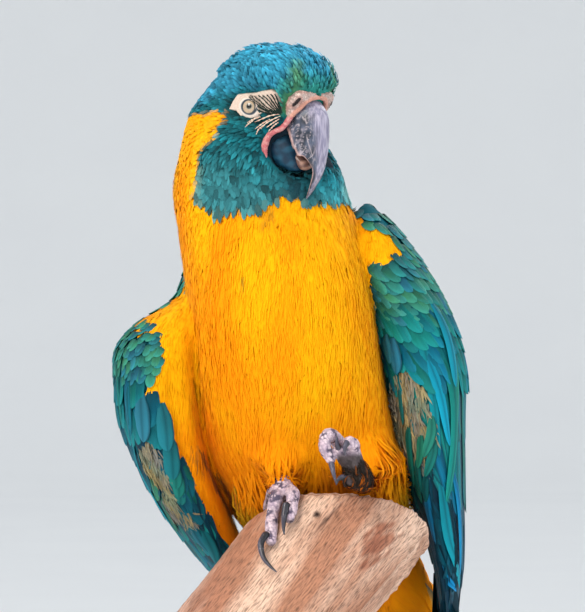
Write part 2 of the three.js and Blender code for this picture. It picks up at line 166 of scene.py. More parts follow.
def mottle(points: Array, first: str, second: str, low: float, high: float, pitch: float, seed: int) -> Array:
    """Two colours mixed in soft spots: by the smooth step, from low to high, of a ripple of one pitch."""
    return mix(linear(first), linear(second), smooth(low, high, ripple(points, pitch, seed)))


def elevation(points: Array) -> Array:
    """Draws points on the front elevation: X and Z where the camera's line to each crosses y = 0."""
    scale = STAND_OFF / (STAND_OFF + points[..., 1])
    return np.stack([points[..., 0] * scale, STATION[2] + (points[..., 2] - STATION[2]) * scale], -1)


def within(outline: Array, at: Array) -> Array:
    """How deep points lie inside a closed outline.

    Args:
        outline: Corners of the outline in order.
        at: Points in the same plane.

    Returns:
        The distance to the nearest edge, above nought inside and below it outside.
    """
    a = np.asarray(outline, float)
    b = np.roll(a, -1, axis=0)
    edge, away = b - a, at[..., None, :] - a
    w = np.clip((away * edge).sum(-1) / (edge * edge).sum(-1), 0, 1)
    gap = np.linalg.norm(away - edge * w[..., None], axis=-1).min(-1)
    x, y = at[..., None, 0], at[..., None, 1]
    spans = (a[:, 1] > y) != (b[:, 1] > y)
    rise = np.where(edge[:, 1] == 0, 1, edge[:, 1])
    inside = (spans & (x < edge[:, 0] * (y - a[:, 1]) / rise + a[:, 0])).sum(-1) % 2 == 1
    return np.where(inside, gap, -gap)


# ---- Forms that are given by their distance ----------------------------------------------------------------


class Form:
    """A closed form, known by the signed distance to its surface: below nought inside, above it outside."""

    def distance(self, points: Array) -> Array:
        """The signed distance of each point."""
        raise NotImplementedError

    def slope(self, points: Array) -> tuple[Array, Array]:
        """Reads the distance and its gradient.

        Args:
            points: Places, three numbers each.

        Returns:
            The distance, and the gradient from differences over 0.4 mm.
        """
        here = self.distance(points)
        step = 0.4
        shifts = [self.distance(points + step * axis) - here for axis in np.eye(3)]
        return here, np.stack(shifts, -1) / step

    def settle(self, points: Array, height: Array | float = 0.0, rounds: int = 1) -> tuple[Array, Array]:
        """Moves points to a height above the surface by Newton's steps along the gradient.

        Args:
            points: Places, three numbers each.
            height: The height that each should have.
            rounds: How many steps to take.

        Returns:
            The moved points and the outward normals there.
        """
        for _ in range(rounds):
            here, way = self.slope(points)
            square = np.maximum((way * way).sum(-1), 0.09)
            points = points - way * np.clip((here - height) / square, -9, 9)[..., None]
        return points, unit(way)


@dataclass
class Loft(Form):
    """A loft of level ellipses, read by the height z.

    Attributes:
        stations: Rows of x, y, z, half width and half depth, from the top down.
        inset: How far the form lies inside those sizes.
        start: The share of its length that rounds the top.
        end: The share that rounds the bottom.
        origin: Where its own axes meet.
        axes: Its own axes as rows.
    """

    stations: list
    inset: float = 0.0
    start: float = 0.12
    end: float = 0.12
    origin: tuple = (0, 0, 0)
    axes: Array = field(default_factory=lambda: np.eye(3))

    def __post_init__(self) -> None:
        """Works out the sections: half sizes fall to nought at both ends by sqrt(1 - (1 - t/cap)^2)."""
        t = np.linspace(0, 1, 260)
        rows = keyed(self.stations, t)
        cap = np.sqrt(1 - (1 - np.clip(t / self.start, 0, 1)) ** 2)
        cap = cap * np.sqrt(1 - (1 - np.clip((1 - t) / self.end, 0, 1)) ** 2)
        rows[:, 3:5] = np.maximum((rows[:, 3:5] - self.inset) * cap[:, None], 0.3)
        self.rows = rows[np.argsort(rows[:, 2])]

    def section(self, z: Array) -> Array:
        """The centre x and y and the half sizes at heights z, as four columns."""
        return np.stack([np.interp(z, self.rows[:, 2], self.rows[:, i]) for i in (0, 1, 3, 4)], -1)

    def distance(self, points: Array) -> Array:
        """Along the ray from the section's centre: r(1 - 1/rho), rho the point's share of the ellipse."""
        p = (points - np.asarray(self.origin)) @ self.axes.T
        z = np.clip(p[..., 2], self.rows[0, 2], self.rows[-1, 2])
        x, y, a, b = np.moveaxis(self.section(z), -1, 0)
        dx, dy = p[..., 0] - x, p[..., 1] - y
        rho = np.sqrt((dx / a) ** 2 + (dy / b) ** 2) + 1e-3
        level = np.maximum(np.hypot(dx, dy), 1e-3) * (1 - 1 / rho)
        past = p[..., 2] - z
        return np.where(past == 0, level, np.hypot(np.maximum(level, 0), past))

    def at(self, angle: Array, z: Array) -> Array:
        """The surface point at an angle round the section, 0 at the front and a quarter turn at +X."""
        x, y, a, b = np.moveaxis(self.section(z), -1, 0)
        local = np.stack([x + a * np.sin(angle), y - b * np.cos(angle), z + 0 * x], -1)
        return local @ self.axes + np.asarray(self.origin)


@dataclass
class Ellipsoid(Form):
    """An ellipsoid with its own axes.

    Attributes:
        centre: Its centre.
        halves: Its half sizes along its axes.
        axes: Its axes as rows.
    """

    centre: Array
    halves: Array
    axes: Array = field(default_factory=lambda: np.eye(3))

    def distance(self, points: Array) -> Array:
        """Along the ray from the centre: r(1 - 1/rho)."""
        p = (points - self.centre) @ self.axes.T
        rho = np.linalg.norm(p / np.asarray(self.halves), axis=-1) + 1e-3
        return np.maximum(np.linalg.norm(p, axis=-1), 1e-3) * (1 - 1 / rho)


@dataclass
class Strand(Form):
    """A round strand through points, whose radius runs from each point to the next.

    Attributes:
        path: The points.
        radii: The radius at each.
    """

    path: Array
    radii: Array

    def nearest(self, points: Array) -> tuple[Array, Array]:
        """Finds the nearest part of the strand.

        Args:
            points: Places, three numbers each.

        Returns:
            The signed distance, and how far along the path that part is.
        """
        path, radii = np.asarray(self.path, float), np.asarray(self.radii, float)
        runs = np.linalg.norm(np.diff(path, axis=0), axis=1)
        starts = np.concatenate([[0], np.cumsum(runs)])
        best = np.full(points.shape[:-1], 1e9)
        along = np.zeros(points.shape[:-1])
        for i, run in enumerate(runs):
            way = path[i + 1] - path[i]
            w = np.clip(((points - path[i]) @ way) / run**2, 0, 1)
            gap = np.linalg.norm(points - path[i] - w[..., None] * way, axis=-1)
            gap = gap - (radii[i] + (radii[i + 1] - radii[i]) * w)
            along = np.where(gap < best, starts[i] + w * run, along)
            best = np.minimum(best, gap)
        return best, along

    def distance(self, points: Array) -> Array:
        """The least distance over the strand's straight runs."""
        return self.nearest(points)[0]


@dataclass
class Union(Form):
    """Forms that flow into each other.

    Attributes:
        forms: The forms.
        blend: How wide the hollow between two of them is filled.
    """

    forms: list
    blend: float

    def distance(self, points: Array) -> Array:
        """The smooth least: min(a, b) - h^2 k/4, with h the share of k that |a - b| leaves."""
        total = self.forms[0].distance(points)
        for form in self.forms[1:]:
            other = form.distance(points)
            share = np.maximum(self.blend - np.abs(total - other), 0) / self.blend
            total = np.minimum(total, other) - share * share * self.blend / 4
        return total


@dataclass
class Hollowed(Form):
    """A form with others taken out of it.

    Attributes:
        solid: What is cut.
        tools: What is taken out.
    """

    solid: Form
    tools: list

    def distance(self, points: Array) -> Array:
        """The greatest of the solid's distance and the tools' distances turned about."""
        total = self.solid.distance(points)
        for tool in self.tools:
            total = np.maximum(total, -tool.distance(points))
        return total


def cast(form: Form, sheet: Array, start: float = -130.0) -> Array:
    """Finds where the camera's lines meet a form.

    Args:
        form: The form.
        sheet: Points on the front elevation, X and Z.
        start: The y at which the walk towards the form begins.

    Returns:
        The first surface point on each line, found in 50 steps that are as long as the distance that is left.
    """
    sheet = np.asarray(sheet, float)
    aim = np.stack([sheet[..., 0], np.full(sheet.shape[:-1], STAND_OFF), sheet[..., 1] - STATION[2]], -1)
    aim = aim / STAND_OFF
    reach = np.full(sheet.shape[:-1], STAND_OFF + start)
    for _ in range(50):
        point = STATION + aim * reach[..., None]
        reach = reach + 0.8 * np.clip(form.distance(point), -4, 8)
    return point


def net(form: Form, low: Array, high: Array, pitch: float) -> tuple[Array, Array]:
    """Meshes a form by surface nets.

    One point is set in each grid cell that the surface crosses and is settled onto the surface, and one
    quad is set across each grid edge whose ends lie on different sides of it.

    Args:
        form: The form.
        low: The lowest corner of the grid.
        high: Its highest corner.
        pitch: The grid's spacing.

    Returns:
        The points, and the quads that face outwards.
    """
    axes = [np.arange(a, b + pitch, pitch) for a, b in zip(low, high)]
    grid = np.stack(np.meshgrid(*axes, indexing="ij"), -1)
    inside = form.distance(grid) < 0
    nx, ny, nz = inside.shape
    filled = sum(
        inside[i:nx - 1 + i, j:ny - 1 + j, k:nz - 1 + k].astype(int)
        for i in (0, 1) for j in (0, 1) for k in (0, 1)
    )
    live = (filled > 0) & (filled < 8)
    number = np.full(live.shape, -1)
    number[live] = np.arange(live.sum())
    points = np.asarray(low) + (np.argwhere(live) + 0.5) * pitch
    points, _ = form.settle(points, 0.0, 4)
    quads = []
    for axis in range(3):
        size = inside.shape[axis]
        first = inside.take(np.arange(size - 1), axis)
        second = inside.take(np.arange(1, size), axis)
        cells = np.argwhere(first != second)
        one, two = np.eye(3, dtype=int)[(axis + 1) % 3], np.eye(3, dtype=int)[(axis + 2) % 3]
        ring = np.stack([cells - one - two, cells - two, cells, cells - one], 1)
        fits = ((ring >= 0) & (ring < np.array(live.shape))).all((1, 2))
        ring, cells = ring[fits], cells[fits]
        quad = number[ring[..., 0], ring[..., 1], ring[..., 2]]
        outwards = first[cells[:, 0], cells[:, 1], cells[:, 2]]
        quads.append(np.where(outwards[:, None], quad, quad[:, ::-1]))
    return points, np.concatenate(quads)


# ---- Meshes ------------------------------------------------------------------------------------------------


def grid_faces(count: int, rows: int, cols: int, closed: bool = False) -> Array:
    """Quads over a batch of grids.

    Args:
        count: How many grids lie one after another.
        rows: The rows of each.
        cols: The columns of each.
        closed: Whether the last column joins the first.

    Returns:
        Four point numbers for each quad.
    """
    base = np.arange(rows * cols).reshape(rows, cols)
    if closed:
        base = np.hstack([base, base[:, :1]])
    quad = np.stack([base[:-1, :-1], base[1:, :-1], base[1:, 1:], base[:-1, 1:]], -1).reshape(-1, 4)
    return (quad[None] + (np.arange(count) * rows * cols)[:, None, None]).reshape(-1, 4)


def make_mesh(
    name: str,
    points: Array,
    faces: Array,
    tint: Array | None = None,
    charts: dict[str, Array] | None = None,
) -> Thing:
    """Writes arrays into a new object.

    Args:
        name: The piece's name.
        points: Its points in millimetres.
        faces: Its quads as four point numbers each, all facing outwards.
        tint: A linear colour for each point, kept as the attribute Tint.
        charts: A pair of numbers for each point for each UV map, by the map's name.

    Returns:
        The object, at the origin and in the scene.
    """
    mesh = bpy.data.meshes.new(name)
    points, faces = points.reshape(-1, 3), faces.astype(np.int32)
    mesh.vertices.add(len(points))
    mesh.vertices.foreach_set("co", (points * MM).astype(np.float32).ravel())
    mesh.loops.add(faces.size)
    mesh.loops.foreach_set("vertex_index", faces.ravel())
    mesh.polygons.add(len(faces))
    mesh.polygons.foreach_set("loop_start", np.arange(0, faces.size, faces.shape[1], dtype=np.int32))
    mesh.update(calc_edges=True)
    mesh.shade_smooth()
    if tint is not None:
        layer = mesh.color_attributes.new("Tint", "FLOAT_COLOR", "POINT")
        colour = np.ones((len(points), 4), np.float32)
        colour[:, :3] = np.clip(tint.reshape(-1, 3), 0, 1)
        layer.data.foreach_set("color", colour.ravel())
    for chart, places in (charts or {}).items():
        layer = mesh.uv_layers.new(name=chart)
        layer.data.foreach_set("uv", places.reshape(-1, 2)[faces.ravel()].astype(np.float32).ravel())
    piece = bpy.data.objects.new(name, mesh)
    bpy.context.scene.collection.objects.link(piece)
    return piece


def finish_piece(piece: Thing, finish: "Finish", stands_for: tuple[str, ...] = ()) -> None:
    """Gives a piece its material, its body and the nodes that it stands for, and reports it."""
    piece.data.materials.clear()
    piece.data.materials.append(finish.material())
    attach(piece, "root")
    if stands_for:
        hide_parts(*stands_for)
    LOG.info("%s: %d faces, %s", piece.name, len(piece.data.polygons), finish.name)


def tube(path: Array, wide: Array, deep: Array, around: int, flat: Array) -> tuple[Array, Array]:
    """Carries an ellipse along a path and closes both ends to a point.

    Args:
        path: Centres of the rows.
        wide: Each row's half size along flat.
        deep: Each row's half size across it.
        around: How many points each row has.
        flat: The direction, made square to the path, along which the section is wide.

    Returns:
        The points as rows of rings, and the quads.
    """
    way = unit(np.gradient(path, axis=0))
    side = unit(flat - (way @ flat)[:, None] * way)
    over = np.cross(way, side)
    angle = np.linspace(0, TURN, around, endpoint=False)
    rings = (
        path[:, None]
        + side[:, None] * (wide[:, None] * np.cos(angle))[..., None]
        + over[:, None] * (deep[:, None] * np.sin(angle))[..., None]
    )
    return rings, grid_faces(1, len(path), around, closed=True)[:, ::-1]


# ---- Finishes ----------------------------------------------------------------------------------------------


def add_node(
    tree: Tree,
    kind: str,
    values: dict | None = None,
    links: dict | None = None,
    **settings: object,
) -> Node:
    """Adds one node.

    Args:
        tree: The material's node tree.
        kind: The node's type, without "ShaderNode".
        values: Constants for its sockets.
        links: Sockets that feed its sockets.
        **settings: Its properties.

    Returns:
        The node.
    """
    made = tree.nodes.new("ShaderNode" + kind)
    for key, value in settings.items():
        setattr(made, key, value)
    for key, value in (values or {}).items():
        made.inputs[key].default_value = value
    for key, socket in (links or {}).items():
        tree.links.new(socket, made.inputs[key])
    return made


def object_place(tree: Tree) -> Socket:
    """Places in the object's own coordinates, in metres."""
    return add_node(tree, "TexCoord").outputs["Object"]


def own_tint(tree: Tree) -> Socket:
    """The colour that the mesh carries at each place."""
    return add_node(tree, "Attribute", attribute_name="Tint").outputs["Color"]


def noise_over(tree: Tree, place: Socket, values: dict) -> Socket:
    """A noise over the place, with its Scale in grains per unit and its Detail in octaves."""
    return add_node(tree, "TexNoise", values, {"Vector": place}).outputs["Fac"]


def remap(tree: Tree, source: Socket, ends: dict) -> Socket:
    """Carries the source from ends 1 and 2 to ends 3 and 4, and holds it there."""
    return add_node(tree, "MapRange", ends, {0: source}).outputs[0]


def mixed(tree: Tree, colours: dict, links: dict) -> Socket:
    """Mixes colour 6 into colour 7 by share 0, each of them set or linked."""
    return add_node(tree, "Mix", colours, links, data_type="RGBA").outputs[2]


@dataclass(frozen=True)
class Finish:
    """What a surface is and how it was made.

    Attributes:
        name: The material's name.
        roughness: The middle of its roughness.
        ior: Its index of refraction.
        coat: How much clear coat lies on it.
        sheen: How much its fibres catch the light at the edge.
        gloss: The strength of its own mirror reflection, 0.5 for a plain solid and less for fluffed fibres.
    """

    name: str
    roughness: float = 0.5
    ior: float = 1.5
    coat: float = 0.0
    sheen: float = 0.0
    gloss: float = 0.5

    def material(self) -> bpy.types.Material:
        """Makes the material once: its shader is set from the fields, its pattern by dress."""
        made = bpy.data.materials.get(self.name)
        if made:
            return made
        made = bpy.data.materials.new(self.name)
        made.use_nodes = True
        tree = made.node_tree
        shader = tree.nodes["Principled BSDF"]
        shader.inputs["Roughness"].default_value = self.roughness
        shader.inputs["IOR"].default_value = self.ior
        shader.inputs["Specular IOR Level"].default_value = self.gloss
        shader.inputs["Coat Weight"].default_value = self.coat
        shader.inputs["Coat Roughness"].default_value = 0.08
        shader.inputs["Sheen Weight"].default_value = self.sheen
        shader.inputs["Sheen Roughness"].default_value = 0.4
        self.dress(tree, shader)
        return made

    def dress(self, tree: Tree, shader: Node) -> None:
        """Wires the pattern into the shader."""
        raise NotImplementedError

    @staticmethod
    def wire(tree: Tree, shader: Node, **sockets) -> None:
        """Links the named sockets, of colour, rough and bump, to the shader's inputs for them."""
        inputs = {"colour": "Base Color", "rough": "Roughness", "bump": "Normal"}
        for name, socket in sockets.items():
            tree.links.new(socket, shader.inputs[inputs[name]])

    @staticmethod
    def tinted(tree: Tree, low: float, high: float, grain: float, detail: float = 6.0) -> tuple:
        """Varies the attribute Tint with a fine noise in Object coordinates.

        Args:
            tree: The material's node tree.
            low: The darkest share of the tint.
            high: The brightest share.
            grain: The noise's grains per metre.
            detail: The noise's octaves.

        Returns:
            The colour socket and the noise's own socket.
        """
        place = object_place(tree)
        noise = noise_over(tree, place, {"Scale": grain, "Detail": detail})
        share = remap(tree, noise, {3: low, 4: high, 1: 0.3, 2: 0.7})
        tint = own_tint(tree)
        scaled = add_node(tree, "VectorMath", {}, {0: tint, 1: share}, operation="MULTIPLY").outputs[0]
        return scaled, noise


@dataclass(frozen=True)
class Plumage(Finish):
    """Keratin barbs grown side by side: a soft matt vane, ribbed where the barbs lie and bright at its rim.

    Attributes:
        barbs: How far apart the drawn barbs are in millimetres; real ones, at 0.3 mm, are too fine to show.
        depth: How strongly the ribs shade the vane.
    """

    barbs: float = 1.1
    depth: float = 0.25

    def dress(self, tree: Tree, shader: Node) -> None:
        """Ribs run out from the shaft at a slant: the sine of (along - 1.4 |across|) over the pitch."""
        chart = add_node(tree, "UVMap", uv_map="Barb").outputs[0]
        split = add_node(tree, "SeparateXYZ", {}, {0: chart})
        out = add_node(tree, "Math", {}, {0: split.outputs[0]}, operation="ABSOLUTE").outputs[0]
        slant = add_node(
            tree, "Math", {1: -1.4}, {0: out, 2: split.outputs[1]}, operation="MULTIPLY_ADD"
        ).outputs[0]
        place = object_place(tree)
        stray = noise_over(tree, place, {"Scale": 260.0, "Detail": 3.0})
        bent = add_node(tree, "Math", {1: 2.4}, {0: stray, 2: slant}, operation="MULTIPLY_ADD").outputs[0]
        wave = add_node(tree, "Math", {1: TURN / self.barbs}, {0: bent}, operation="MULTIPLY").outputs[0]
        rib = add_node(tree, "Math", {}, {0: wave}, operation="SINE").outputs[0]
        shade = remap(tree, rib, {1: -1.0, 2: 1.0, 3: 1 - self.depth, 4: 1 + 0.35 * self.depth})
        tint = own_tint(tree)
        colour = add_node(tree, "VectorMath", {}, {0: tint, 1: shade}, operation="MULTIPLY").outputs[0]
        bump = add_node(tree, "Bump", {"Strength": 0.3, "Distance": 0.0003}, {"Height": rib}).outputs[0]
        self.wire(tree, shader, colour=colour, bump=bump)


@dataclass(frozen=True)
class Tinted(Finish):
    """A surface whose colour is laid on point by point and broken up by a grain of its own.

    Attributes:
        grain: The grain's size in millimetres.
        relief: How high the grain stands in millimetres.
        low: The darkest share of the tint.
        high: The brightest share.
    """

    grain: float = 1.0
    relief: float = 0.1
    low: float = 0.85
    high: float = 1.12

    def dress(self, tree: Tree, shader: Node) -> None:
        """The tint is scaled by a noise, and the same noise gives the bump and a little of the roughness."""
        colour, noise = self.tinted(tree, self.low, self.high, 1 / (self.grain * MM))
        rough = remap(tree, noise, {3: self.roughness * 0.8, 4: min(self.roughness * 1.25, 1.0)})
        bump = add_node(
            tree, "Bump", {"Strength": 0.6, "Distance": self.relief * MM}, {"Height": noise}
        ).outputs[0]
        self.wire(tree, shader, colour=colour, rough=rough, bump=bump)


@dataclass(frozen=True)
class Horn(Finish):
    """Keratin sheath grown in layers: smooth and half glossy, with fine scratches along it.

    Attributes:
        scratch: How far apart the scratches are in millimetres.
    """

    scratch: float = 1.6

    def dress(self, tree: Tree, shader: Node) -> None:
        """A noise drawn out eight times along the sheath breaks the tint, and flakes lighten it."""
        place = object_place(tree)
        turned = add_node(
            tree, "Mapping", {"Rotation": (0.35, 0.6, 0.0), "Scale": (1.0, 1.0, 0.13)}, {"Vector": place}
        ).outputs[0]
        noise = noise_over(tree, turned, {"Scale": 1 / (self.scratch * MM), "Detail": 5.0, "Roughness": 0.65})
        share = remap(tree, noise, {1: 0.3, 2: 0.7, 3: 0.72, 4: 1.2})
        tint = own_tint(tree)
        base = add_node(tree, "VectorMath", {}, {0: tint, 1: share}, operation="MULTIPLY").outputs[0]
        cut = remap(tree, noise, {1: 0.60, 2: 0.66, 3: 0.0, 4: 0.4})
        pale = mixed(tree, {7: rgba("#c9c3cc")}, {0: cut, 6: base})
        rough = remap(tree, noise, {1: 0.3, 2: 0.7, 3: 0.26, 4: 0.5})
        bump = add_node(tree, "Bump", {"Strength": 0.35, "Distance": 0.00025}, {"Height": noise}).outputs[0]
        self.wire(tree, shader, colour=pale, rough=rough, bump=bump)


@dataclass(frozen=True)
class Eyeball(Finish):
    """Cornea over iris as one wet polished ball: sharp highlights over a colour laid on by the mesh."""

    def dress(self, tree: Tree, shader: Node) -> None:
        """The tint is broken by a fine noise that reads as the iris's fibres."""
        colour, _ = self.tinted(tree, 0.86, 1.1, 1 / (0.35 * MM), 3.0)
        self.wire(tree, shader, colour=colour)


@dataclass(frozen=True)
class DebarkedWood(Finish):
    """Weathered log wood with the bark off: long pale grain, pink heartwood streaks and dark checks, matt.

    Attributes:
        pale: The light wood.
        warm: The pinkish wood.
        dark: The grain's lines.
    """

    pale: str = "#eac4aa"
    warm: str = "#b97f60"
    dark: str = "#4f2f1e"

    def dress(self, tree: Tree, shader: Node) -> None:
        """Noise drawn out along the log's own UV map: broad streaks, fine fibres, and thin dark checks."""
        chart = add_node(tree, "UVMap", uv_map="Grain").outputs[0]
        broad = add_node(tree, "Mapping", {"Scale": (34.0, 5.0, 1.0)}, {"Vector": chart}).outputs[0]
        fine = add_node(tree, "Mapping", {"Scale": (1150.0, 140.0, 1.0)}, {"Vector": chart}).outputs[0]
        split = add_node(tree, "Mapping", {"Scale": (210.0, 16.0, 1.0)}, {"Vector": chart}).outputs[0]
        streak = noise_over(tree, broad, {"Scale": 1.0, "Detail": 4.0})
        fibre = noise_over(tree, fine, {"Scale": 1.0, "Detail": 6.0, "Roughness": 0.65})
        check = noise_over(tree, split, {"Scale": 1.0, "Detail": 2.0})
        place = object_place(tree)
        blotch = noise_over(tree, place, {"Scale": 38.0, "Detail": 5.0})
        warm = remap(tree, streak, {1: 0.42, 2: 0.62})
        base = mixed(tree, {6: rgba(self.pale), 7: rgba(self.warm)}, {0: warm})
        stain = remap(tree, blotch, {1: 0.5, 2: 0.68, 4: 0.6})
        stained = mixed(tree, {7: rgba("#a07055")}, {0: stain, 6: base})
        line = remap(tree, fibre, {1: 0.54, 2: 0.36, 3: 0.0, 4: 0.8})
        grained = mixed(tree, {7: rgba(self.dark)}, {0: line, 6: stained})
        tint = own_tint(tree)
        colour = add_node(tree, "VectorMath", {}, {0: grained, 1: tint}, operation="MULTIPLY").outputs[0]
        both = add_node(tree, "Math", {1: 0.6}, {0: check, 2: fibre}, operation="MULTIPLY_ADD").outputs[0]
        bump = add_node(tree, "Bump", {"Strength": 0.7, "Distance": 0.0012}, {"Height": both}).outputs[0]
        self.wire(tree, shader, colour=colour, bump=bump)


@dataclass(frozen=True)
class TurnedWood(Finish):
    """Dark oiled wood turned on a lathe: close grain under a thin satin finish."""

    def dress(self, tree: Tree, shader: Node) -> None:
        """Noise drawn out along X gives 2 mm grain, mixed between two browns."""
        place = object_place(tree)
        drawn = add_node(tree, "Mapping", {"Scale": (14.0, 420.0, 420.0)}, {"Vector": place}).outputs[0]
        grain = add_node(
            tree, "TexNoise", {"Scale": 1.0, "Detail": 5.0, "Distortion": 0.4}, {"Vector": drawn}
        )
        colour = mixed(tree, {6: rgba("#4a2f20"), 7: rgba("#8a6146")}, {0: grain.outputs["Fac"]})
        bump = add_node(
            tree, "Bump", {"Strength": 0.25, "Distance": 0.0003}, {"Height": grain.outputs["Fac"]}
        )
        self.wire(tree, shader, colour=colour, bump=bump.outputs[0])


@dataclass(frozen=True)
class BrushedSteel(Finish):
    """Drawn steel rod, brushed round: a grey metal whose streaks spread the highlight."""

    def dress(self, tree: Tree, shader: Node) -> None:
        """Noise squashed along Z gives 0.6 mm rings that vary the roughness."""
        shader.inputs["Metallic"].default_value = 1.0
        place = object_place(tree)
        rings = add_node(tree, "Mapping", {"Scale": (60.0, 60.0, 1600.0)}, {"Vector": place}).outputs[0]
        noise = noise_over(tree, rings, {"Scale": 1.0, "Detail": 3.0})
        colour = mixed(tree, {6: rgba("#8f9294"), 7: rgba("#bfc1c2")}, {0: noise})
        rough = remap(tree, noise, {3: 0.24, 4: 0.46})
        self.wire(tree, shader, colour=colour, rough=rough)


@dataclass(frozen=True)
class StudioPlaster(Finish):
    """Matt white studio floor that sweeps up into the wall: no gloss, the faintest mottle."""

    def dress(self, tree: Tree, shader: Node) -> None:
        """Two greys mixed by a noise of 0.4 m grains."""
        place = object_place(tree)
        noise = noise_over(tree, place, {"Scale": 2.5, "Detail": 3.0})
        colour = mixed(tree, {6: rgba("#e4e5e6"), 7: rgba("#e9eaea")}, {0: noise})
        self.wire(tree, shader, colour=colour)


# Breast, neck and back: fluffed and matt, with soft edges and only faint ribs.
SOFT_DOWN = Plumage(
    "contour_feathers_soft_barbs", roughness=0.8, sheen=0.02, gloss=0.1, barbs=0.9, depth=0.07
)
# Cap and cheeks: short and dense, a little glossier, and ribbed enough to look combed.
HEAD_DOWN = Plumage(
    "head_feathers_short_dense", roughness=0.75, sheen=0.02, gloss=0.16, barbs=0.7, depth=0.16
)
# Wing coverts: firm vanes with a dull satin and a visible rib.
WING_VANE = Plumage("wing_coverts_firm_vanes", roughness=0.6, gloss=0.1, barbs=1.3, depth=0.14)
# Primaries and tail: stiff and smooth, with a low sheen along the vane.
FLIGHT_VANE = Plumage("flight_feathers_stiff_vanes", gloss=0.12, barbs=1.6, depth=0.12)
# The bare face: dry, pale and finely wrinkled.
BARE_SKIN = Tinted(
    "bare_facial_skin_wrinkled", roughness=0.6, ior=1.45, sheen=0.05, gloss=0.3, grain=0.9, relief=0.12,
    low=0.88, high=1.06
)
# The skin under the feathers: flat and dull, so that gaps between them read as shade.
BODY_SKIN = Tinted(
    "plucked_skin_under_plumage", roughness=0.9, ior=1.45, gloss=0.1, grain=2.5, relief=0.3, low=0.85,
    high=1.05
)
# The rolls round the bill's root: leathery and pitted, with a dull shine.
CERE_SKIN = Tinted(
    "cere_leathery_skin", roughness=0.55, ior=1.45, coat=0.1, gloss=0.35, grain=0.8, relief=0.3, low=0.7
)
# The feet: dry horny scales.
FOOT_SCALES = Tinted(
    "foot_scaled_hide", roughness=0.6, ior=1.45, gloss=0.35, grain=0.6, relief=0.08, high=1.1
)
# The tongue: thick, smooth and just moist.
TONGUE_FLESH = Tinted(
    "tongue_thick_moist_flesh", roughness=0.35, ior=1.4, coat=0.3, grain=0.6, relief=0.06, high=1.1
)
# The upper bill: half glossy, with flakes and scratches along it.
BILL_HORN = Horn("bill_layered_keratin", roughness=0.38, coat=0.1, gloss=0.4)
# The lower bill: smoother, darker and duller.
LOWER_HORN = Tinted("lower_bill_smooth_keratin", roughness=0.42, coat=0.05, gloss=0.3, grain=2.2, relief=0.03)
# The claws: smooth, with a sharp small highlight.
CLAW_HORN = Horn("claws_smooth_keratin", roughness=0.3, coat=0.15, gloss=0.4, scratch=0.9)
# The eye: polished and wet, with a mirror's highlight.
WET_EYE = Eyeball("eye_wet_polished", roughness=0.04, ior=1.38, coat=1.0)
# The log: pale and weathered, matt, with long grain.
LOG_WOOD = DebarkedWood("log_debarked_weathered_wood", roughness=0.72)
# The base: dark oiled wood with a satin shine.
BASE_WOOD = TurnedWood("base_turned_oiled_walnut", roughness=0.42, coat=0.15)
# The rod: grey metal with a spread highlight.
ROD_STEEL = BrushedSteel("rod_brushed_steel", roughness=0.35)
# The studio: matt white.
STUDIO = StudioPlaster("studio_matt_plaster", roughness=0.95)


# ---- The bird's measures -----------------------------------------------------------------------------------


@dataclass
class HeadFrame:
    """Where the head is and how it is turned and nodded.

    Attributes:
        centre: The head's centre.
        turn: How far it is turned to the bird's left, in degrees.
        nod: How far the bill is lowered, in degrees.
    """

    centre: tuple = (-19.0, -8.0, 642.0)
    turn: float = 48.0
    nod: float = 18.0

    def __post_init__(self) -> None:
        """Works out forward, right and up as the rows of one matrix."""
        a, b = np.radians(self.turn), np.radians(self.nod)
        forward = np.array([np.sin(a) * np.cos(b), -np.cos(a) * np.cos(b), -np.sin(b)])
        right = np.array([-np.cos(a), -np.sin(a), 0.0])
        self.axes = np.array([forward, right, np.cross(right, forward)])

    def place(self, local: Array) -> Array:
        """Turns forward, right and up distances into a place."""
        return np.asarray(local, float) @ self.axes + np.asarray(self.centre)

    def local(self, points: Array) -> Array:
        """Turns places into forward, right and up distances."""
        return (points - np.asarray(self.centre)) @ self.axes.T

    def mirrored(self, points: Array) -> Array:
        """The same places on the other side of the head's middle plane."""
        return self.place(self.local(points) * np.array([1, -1, 1]))


HEAD = HeadFrame()
TAIL_ROOT = np.array([33.0, 66.0, 398.0])
TAIL_AXIS = unit(np.array([0.389, 0.375, -0.841]))
TAIL_SIDE = unit(np.cross(np.array([0.0, 1.0, 0.0]), TAIL_AXIS))
TAIL_UNDER = np.cross(TAIL_SIDE, TAIL_AXIS) * np.sign(-np.cross(TAIL_SIDE, TAIL_AXIS)[1])
BODY = [
    [-17, 0, 666, 14, 14], [-24, 6, 652, 28, 27], [-28, 9, 635, 37.5, 35], [-24, 9, 613, 47.5, 43],
    [-21, 13, 588, 55, 47], [-15, 9, 561, 57.5, 53], [-8, 5, 520, 59, 58], [-2, 10, 472, 60, 58],
    [6, 24, 424, 61, 53], [13, 42, 392, 55, 42], [19, 58, 364, 42, 30], [24, 68, 344, 26, 20],
]
FLANK = [
    [-66, 4, 516, 12, 16], [-71, 4, 488, 14, 24], [-70, 8, 452, 14, 28],
    [-61, 18, 414, 13, 28], [-51, 30, 384, 15, 26], [-40, 40, 352, 14, 20],
]
WING_RIGHT = [
    [-44, 34, 560, 12, 14], [-49, 32, 540, 20, 24], [-54, 28, 521, 23, 32], [-70, 20, 505, 30, 36],
    [-82, 16, 489, 30.5, 42], [-86, 16, 468, 27, 45], [-85, 20, 445, 25.5, 48], [-77, 28, 418, 23, 49],
    [-65, 38, 392, 22, 47], [-49, 50, 367, 21, 42], [-30, 66, 342, 19, 34], [-12, 84, 316, 15, 24],
]
